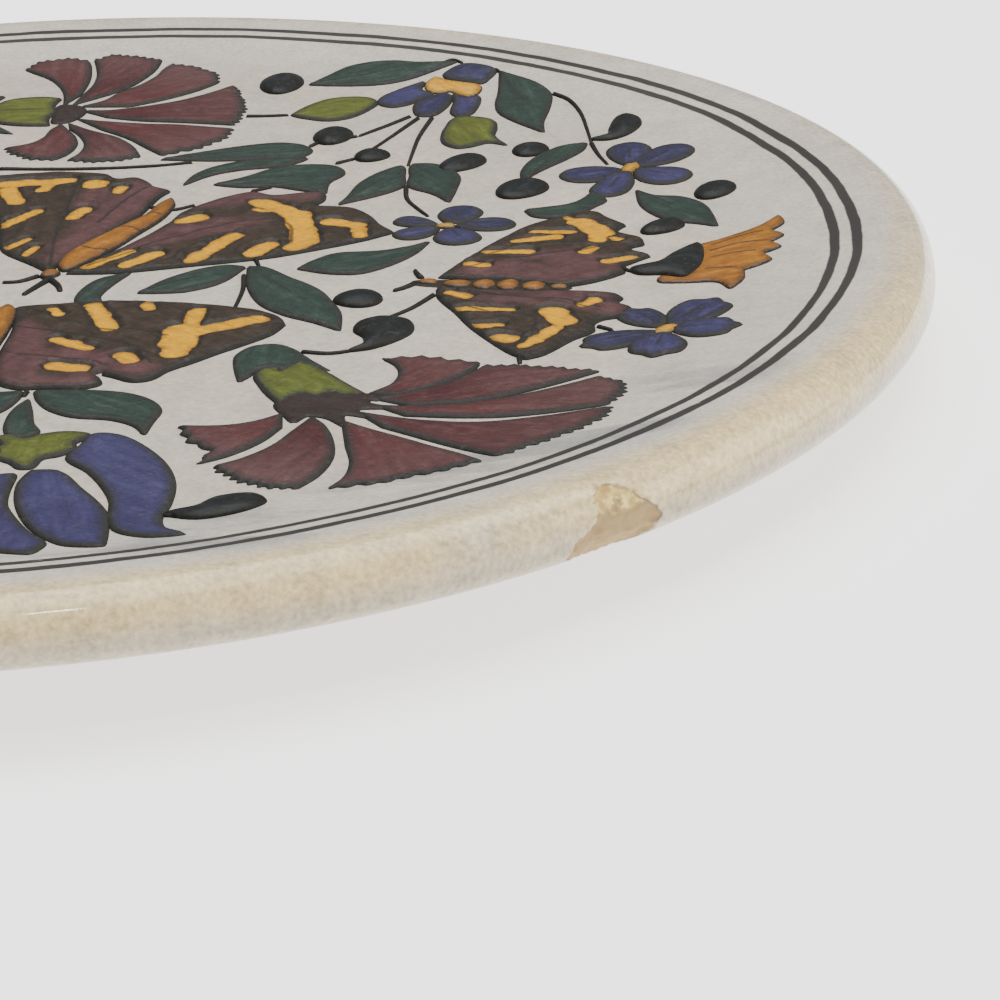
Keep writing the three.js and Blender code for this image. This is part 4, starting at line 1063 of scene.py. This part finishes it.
SIDE_WINGS = [
    ([(56.3, -15.4, 1), (59.2, -9.4), (62.4, -3.7), (65.2, 0.9), (67.7, 4.4), (70, 6.6), (72.3, 8.1),
      (75.5, 10.3), (77.4, 10), (78.6, 7.6), (80.9, 4.2, 1), (79.6, 1.4), (82.6, -1.6, 1),
      (82.8, -4.4, 1), (80.9, -6), (83.4, -9.2, 1), (81.2, -11.4), (79.6, -13.4), (79.8, -15.5, 1),
      (77.8, -17.4), (74.7, -19.4), (71.5, -20.2), (66, -17.6), (60.3, -16.4)],
     [(60.3, -10.6, 62, -12, 1.2), (62.8, -6.3, 67.8, -6.7, 1.2), (66.4, -2, 71.6, -0.9, 1.2),
      (68.8, 1.6, 73.6, 0.9, 1.0), (73.2, 7.8, 74, 6.6, 0.9), (75, 5.4, 77.6, 0.6, 2.1),
      (77, -0.8, 76.8, -2.6, 1.4), (79, -1.8, 79.6, -2.6, 0.9), (75, -7.8, 76.2, -6, 1.1),
      (77.8, -11.6, 81, -10.2, 1.2)],
     [(62, -14, 76, -16.5, 3.2), (72, -12, 78, -13, 3.0), (68, -9.5, 73, -8, 1.6)],
     [[(58, -13.4), (64, -10), (71, -8.5), (77, -5.4)], [(60, -8.8), (68, -4.2), (76, -4)]]),
    ([(56.2, -19.4, 1), (56.4, -23.3), (58.5, -29), (60.2, -34.2), (62.1, -38.6), (64.8, -43.9),
      (66.7, -46.3, 1), (68.9, -44.8), (72.3, -40.1), (74.9, -37.3), (75.1, -34.7), (76.2, -33.2),
      (78.6, -32.1), (79.9, -29, 1), (78.3, -27.2), (79.1, -25.4, 1), (78.2, -23.9), (76.4, -23.1),
      (71.4, -22.2), (65.8, -21.8), (60.5, -20.8)],
     [(57.8, -21.8, 59.8, -23.8, 1.1), (58.8, -28.4, 65, -29.4, 1.1), (61, -34.6, 63.6, -34.8, 1.1),
      (63.6, -39.2, 65, -39.8, 1.5), (70.4, -30.6, 71.4, -34, 2.0), (70.6, -36.4, 66.8, -42, 1.2),
      (74.3, -28.1, 75.6, -26.4, 1.1)],
     [(60, -20.8, 76, -24, 1.8), (70, -25, 77.5, -30.5, 2.2), (62, -25.8, 68, -26.5, 1.3)],
     [[(57.5, -20), (64, -24.5), (71, -26.5), (76, -30)],
      [(58, -25.6), (64, -31), (68, -33), (67.5, -39)]]),
]
MIDDLE_WINGS = [
    ([(8.6, -9.4, 1), (15, -9.6), (23.8, -7.8), (33.8, -5.4), (40, -2.6), (46.3, 0.9), (50.3, 4, 1),
      (48.3, 7.6), (46.8, 11.8), (44.6, 15), (41.5, 16.2), (39.4, 16.8), (40.4, 19.6), (40, 22.8),
      (36.5, 22.6), (33.4, 22), (30.6, 23.7), (26.9, 22.1), (23.8, 19), (21.3, 15.3), (20, 10.9),
      (17.5, 5.3), (15, 0.9), (11.5, -4.8)],
     [(21.9, 11.2, 23.8, 12.2, 1.7), (24.6, -5.8, 29.2, 3.8, 1.5), (32.2, -4, 34.2, -0.6, 1.5),
      (11.2, -7.4, 16, -1.6, 1.2), (16.2, -7, 19.8, -3.2, 1.4), (31.8, 18.5, 37, 12.5, 1.9),
      (37, 12.5, 38.8, 1, 2.1), (38.5, 0.5, 37.6, -1.8, 1.8), (41.5, 8.6, 45.2, 7, 1.6),
      (45.2, 7, 45.9, 2.6, 1.3), (31.5, 15, 33, 14, 1.0)],
     [(16, 3, 30, 9, 2.6), (24, 18, 31, 21, 2.6), (33, 20.5, 38.5, 20.5, 2.0), (14, -1, 28, 6, 1.5)],
     [[(11, -7), (18, 0), (26, 7), (31, 10)],
      [(31, 10), (36, 8.5), (37, 0)],
      [(22, -6), (24, -1), (30, 6)]]),
    ([(6.2, -8.5, 1), (3.4, -4.8), (-0.6, 0.3), (-1.9, 5.3), (-3.1, 12.8), (-5.5, 20), (-9, 27),
      (-13, 33.5), (-12, 36.2), (-6, 35.8), (2.5, 36.2), (8.8, 34.9), (10.8, 32.4), (13.1, 32.7),
      (15, 30.9), (16.4, 28), (18.8, 25.9, 1), (17.5, 22.8), (16.9, 20.3), (15.4, 14), (12, 6.5),
      (9.2, -0.5), (7.2, -6)],
     [(-9, 30, 4, 31.5, 1.7), (-4, 28, -2, 22, 1.6), (1.5, 29.5, 1, 27, 1.2), (-2.5, 11, 1.5, 17, 1.3),
      (-0.5, 1.5, 1.8, 4.5, 1.0), (2.4, -1.6, 3.4, 1.2, 0.8), (8, 28.6, 8.2, 30, 1.9),
      (11.6, 25.4, 12, 27, 1.2), (6.9, 14, 8, 17.6, 1.3)],
     [(8, -3, 12, 14, 3.2), (12, 14, 15.5, 26, 3.4), (8.5, 18, 9, 26, 2.0)],
     [[(6.3, -7), (5.6, 5), (5.6, 15), (5.6, 25), (5.6, 33)], [(10.5, 10), (13.5, 22), (16, 27)]]),
    ([(4, -22.3, 1), (11.3, -21.3), (20, -21.6), (27.5, -23.5), (33.8, -26), (36.9, -28.8),
      (37.8, -31.6, 1), (36.4, -35), (33.3, -38.4), (30.4, -41.2), (27.6, -44.2), (25.1, -46.6),
      (23.3, -49.4), (21.2, -49.9), (18.6, -48), (16.9, -47.2), (17.6, -50.4), (15.8, -51.6),
      (11.5, -51.2), (8, -51.2), (5.2, -48.5), (4.4, -40), (4.8, -30)],
     [(9, -24, 9.8, -26, 1.0), (13.8, -22.8, 14.6, -26, 1.4), (14.6, -26, 16.6, -31.6, 1.5),
      (20.4, -22.9, 20.8, -25.2, 1.1), (26.9, -25.8, 26.4, -33, 1.3), (34.4, -30, 27.5, -34, 1.7),
      (25.5, -33.5, 25.6, -38, 2.5), (25.6, -38, 25.3, -41.4, 1.9), (19.4, -41.8, 20.2, -43.6, 1.5),
      (10.8, -35.4, 14.6, -38.8, 1.2), (11.6, -44.6, 14.6, -45.8, 1.5)],
     [(5, -32, 7.5, -47, 3.5), (8, -41, 17, -42, 2.2), (8, -50, 15.5, -50, 2.2),
      (14, -42, 22, -47, 2.2)],
     [[(5, -30), (12, -34), (20, -39), (23, -45)],
      [(6, -24), (12, -30), (20, -33.5), (24, -35)],
      [(7, -41), (12, -42.5), (18, -45)]]),
]
LOW_BODY_X = 3.0
WING_MESH_STEP = 0.38


def depth_inside(points, strokes):
    """How far each point lies inside the nearest of some round-ended strokes."""
    return np.max([s[4] - line_distance(points, [np.array([s[:2], s[2:4]])]) for s in strokes], axis=0)


def wing(outline, pools, purple, veins):
    def cells(points):
        ragged = 0.4 * wander(points, 2.2, 4.0) + 0.18 * wander(points, 0.8, 9.0)
        return depth_inside(points, pools) + ragged

    def tints(points):
        share = 0.5 + depth_inside(points, purple) / 2.4 + 0.65 * wander(points, 3.5, 2.0)
        share = np.clip(share, 0, 1)[:, None]
        laid_on = 1 + 0.3 * wander(points, 1.7, 5.0)[:, None]
        return (np.array(WING_DARK) * (1 - share) + np.array(WING_PURPLE) * share) * laid_on

    return shape(outline, WING_DARK, None, veins, cells=cells, tints=tints)


side_wings = [wing(*w) for w in SIDE_WINGS]
middle_wings = [wing(*w) for w in MIDDLE_WINGS]
low_left_wings = mirrored(middle_wings[2:], LOW_BODY_X)
wings = side_wings + mirrored(side_wings) + middle_wings + low_left_wings
enamel_piece("butterfly_wings", wings, wing_enamel, WING_MESH_STEP)
SIDE_BODY = [(55, -16.9, 1.5, 1.1, -10), (58.7, -18.1, 2.0, 1.5, -8), (62, -18.7, 1.65, 1.9, -8),
             (65, -19.2, 1.65, 2.1, -8), (68.2, -19.9, 1.75, 1.8, -8), (71.3, -20.5, 1.3, 1.1, -8)]
BEAD_BED = [
    (53.2, -16.2), (56, -16.2), (60, -16.6), (64, -16.9), (68, -17.8), (71.4, -19.2), (72.8, -20.8),
    (70.6, -21.9), (66, -21.6), (61, -20.6), (56.6, -18.9), (53.6, -17.8),
]
BIG_BODY = [
    (7.4, -6.4), (8.4, -8.4), (10, -6.4), (13.8, 0.5), (16.3, 6.6), (18.8, 12.8), (19.9, 19),
    (19.4, 22, 1), (17.8, 19), (16.6, 14.6), (13.4, 9), (10.2, 3.4), (7.8, -2),
]
BIG_BODY_CREASES = [
    [(9.4, 0.8), (11, -1), (13, -1)], [(12.4, 8), (14.4, 8.4), (16.4, 7)], [(16.4, 15), (18.6, 13.6)],
]
LOW_BODY = [
    (3, -21.6), (4.2, -24), (4.2, -31), (3.6, -38), (3, -44, 1), (2.4, -38), (1.8, -31), (1.8, -24),
]
side_body = [drop(b[:2], *b[2:], ORANGE, BEAD_RELIEF) for b in SIDE_BODY]
middle_body = [drop((6.6, -9.6), 1.7, 1.3, 66, ORANGE, BODY_RELIEF),
               shape(BIG_BODY, ORANGE, None, BIG_BODY_CREASES, relief=BODY_RELIEF),
               shape(LOW_BODY, ORANGE, relief=BODY_RELIEF)]
enamel_piece("butterfly_bodies", side_body + mirrored(side_body) + middle_body, orange_enamel)
side_feelers = [
    stem([(54.2, -15.4), (53.6, -13.4), (53.3, -12)], 1.0),
    stem([(53.6, -17), (52, -19), (50.6, -20.1)], 1.0),
    shape(BEAD_BED, WING_DARK, relief=BED_RELIEF),
]
big_feelers = [
    stem([(6.8, -11.2), (5.6, -14), (4.2, -17.4)], 1.1),
    stem([(7, -11.6), (8.2, -14), (8.8, -16.4)], 1.1),
    stem([(5.4, -9.8), (3, -12), (0.8, -12.2)], 0.9),
]
enamel_piece("feelers", side_feelers + mirrored(side_feelers) + big_feelers, slip_enamel)

# The feathered bloom: one blade of orange enamel with a smooth back and scalloped barbs, and folds
# between the barbs. It stands in a dark calyx of slip, which is made with the buds.
BLOOM = [
    (89.4, -6), (93.4, -3.3), (97.8, -0.4), (101, 3.2, 1), (101.2, -0.4), (99.4, -2.6, 1), (100.7, -5.2),
    (98.9, -7.2, 1), (99.9, -9.8), (97.6, -11.4, 1), (98.2, -14.6), (94.6, -17.1, 1), (94.2, -20.6),
    (92.4, -24, 1), (90.9, -20.6), (86.5, -20), (84, -19.6), (84.2, -17.6), (87, -18.4), (88.6, -15),
    (89.4, -10.4),
]
BLOOM_FOLDS = [
    [(91, -11.6), (95, -10.6), (98.4, -11)],
    [(91, -9), (95, -7), (98.4, -7)],
    [(90, -16), (94, -16.6)],
    [(91.4, -6.6), (95.4, -3.8), (98.6, -3)],
]
blooms = [shape(BLOOM, ORANGE, (86, -14), BLOOM_FOLDS)]
enamel_piece("feathered_blooms", blooms + mirrored(blooms), orange_enamel)

# The camera stands where the photograph was taken: low over the near edge, with the plate's centre
# near the left side of the frame. Its place is given from the centre of the outer ring line.
CAMERA_ELEVATION = math.radians(22.69)
CAMERA_ROLL = math.radians(-1.69)
CAMERA_LENS = 108.0
RING_CENTRE_SEEN = Vector((-64.29, -34.67, 391.05))
ce, se = math.cos(CAMERA_ELEVATION), math.sin(CAMERA_ELEVATION)
level = Matrix(((1, 0, 0), (0, -se, -ce), (0, ce, -se)))
world_to_camera = Matrix.Rotation(CAMERA_ROLL, 3, "Z") @ level
ring_centre = Vector((0, 0, float(face_height(OUTER_RING))))
camera = bpy.data.objects.new("camera", bpy.data.cameras.new("camera"))
bpy.context.scene.collection.objects.link(camera)
camera.location = (ring_centre - world_to_camera.transposed() @ RING_CENTRE_SEEN) * MM
facing = world_to_camera.transposed() @ Matrix.Diagonal((1, -1, -1))
camera.rotation_mode = "QUATERNION"
camera.rotation_quaternion = facing.to_quaternion()
camera.data.lens = CAMERA_LENS
camera.data.sensor_width = 36.0
camera.data.clip_start = 0.01
bpy.context.scene.camera = camera

# A plain pale floor and soft studio lights: a softbox overhead, a fill from the right, and two small
# panes whose reflections give the glaze its short sharp glints
floor_mesh = bpy.data.meshes.new("floor")
FLOOR_HALF = 3.0
floor_corners = [(x * FLOOR_HALF, y * FLOOR_HALF, 0) for x, y in ((-1, -1), (1, -1), (1, 1), (-1, 1))]
floor_mesh.from_pydata(floor_corners, [], [(0, 1, 2, 3)])
floor = bpy.data.objects.new("floor", floor_mesh)
bpy.context.scene.collection.objects.link(floor)
floor_paint, n, shader = new_material("pale floor")
n.feed(shader, {"Base Color": (0.88, 0.88, 0.87, 1), "Roughness": 0.9,
                "Emission Color": (1, 1, 1, 1), "Emission Strength": 1.4})
floor.data.materials.append(floor_paint)


def soft_light(name, place, aim, size, power, colour=(1, 1, 1)):
    light = bpy.data.lights.new(name, "AREA")
    light.shape = "RECTANGLE"
    light.size, light.size_y = size
    light.energy = power
    light.color = colour
    lamp = bpy.data.objects.new(name, light)
    bpy.context.scene.collection.objects.link(lamp)
    lamp.location = place
    lamp.rotation_mode = "QUATERNION"
    lamp.rotation_quaternion = (Vector(aim) - Vector(place)).to_track_quat("-Z", "Y")


soft_light("overhead softbox", (0.15, 0.2, 1.4), (0, 0, 0), (1.8, 1.4), 35)
soft_light("side fill", (1.4, 0.1, 0.55), (0, 0, 0), (1.0, 0.8), 9, (1.0, 0.97, 0.93))
for turn, wide in ((-0.10, 0.16), (0.16, 0.10)):
    soft_light("small pane", (turn, -0.8, 1.15), (0, 0, 0), (wide, 0.035), 1.6)
world = bpy.data.worlds.new("studio")
bpy.context.scene.world = world
world.use_nodes = True
sky = world.node_tree.nodes["Background"]
Nodes(world.node_tree).feed(sky, {"Color": (0.86, 0.93, 1.0, 1), "Strength": 0.18})
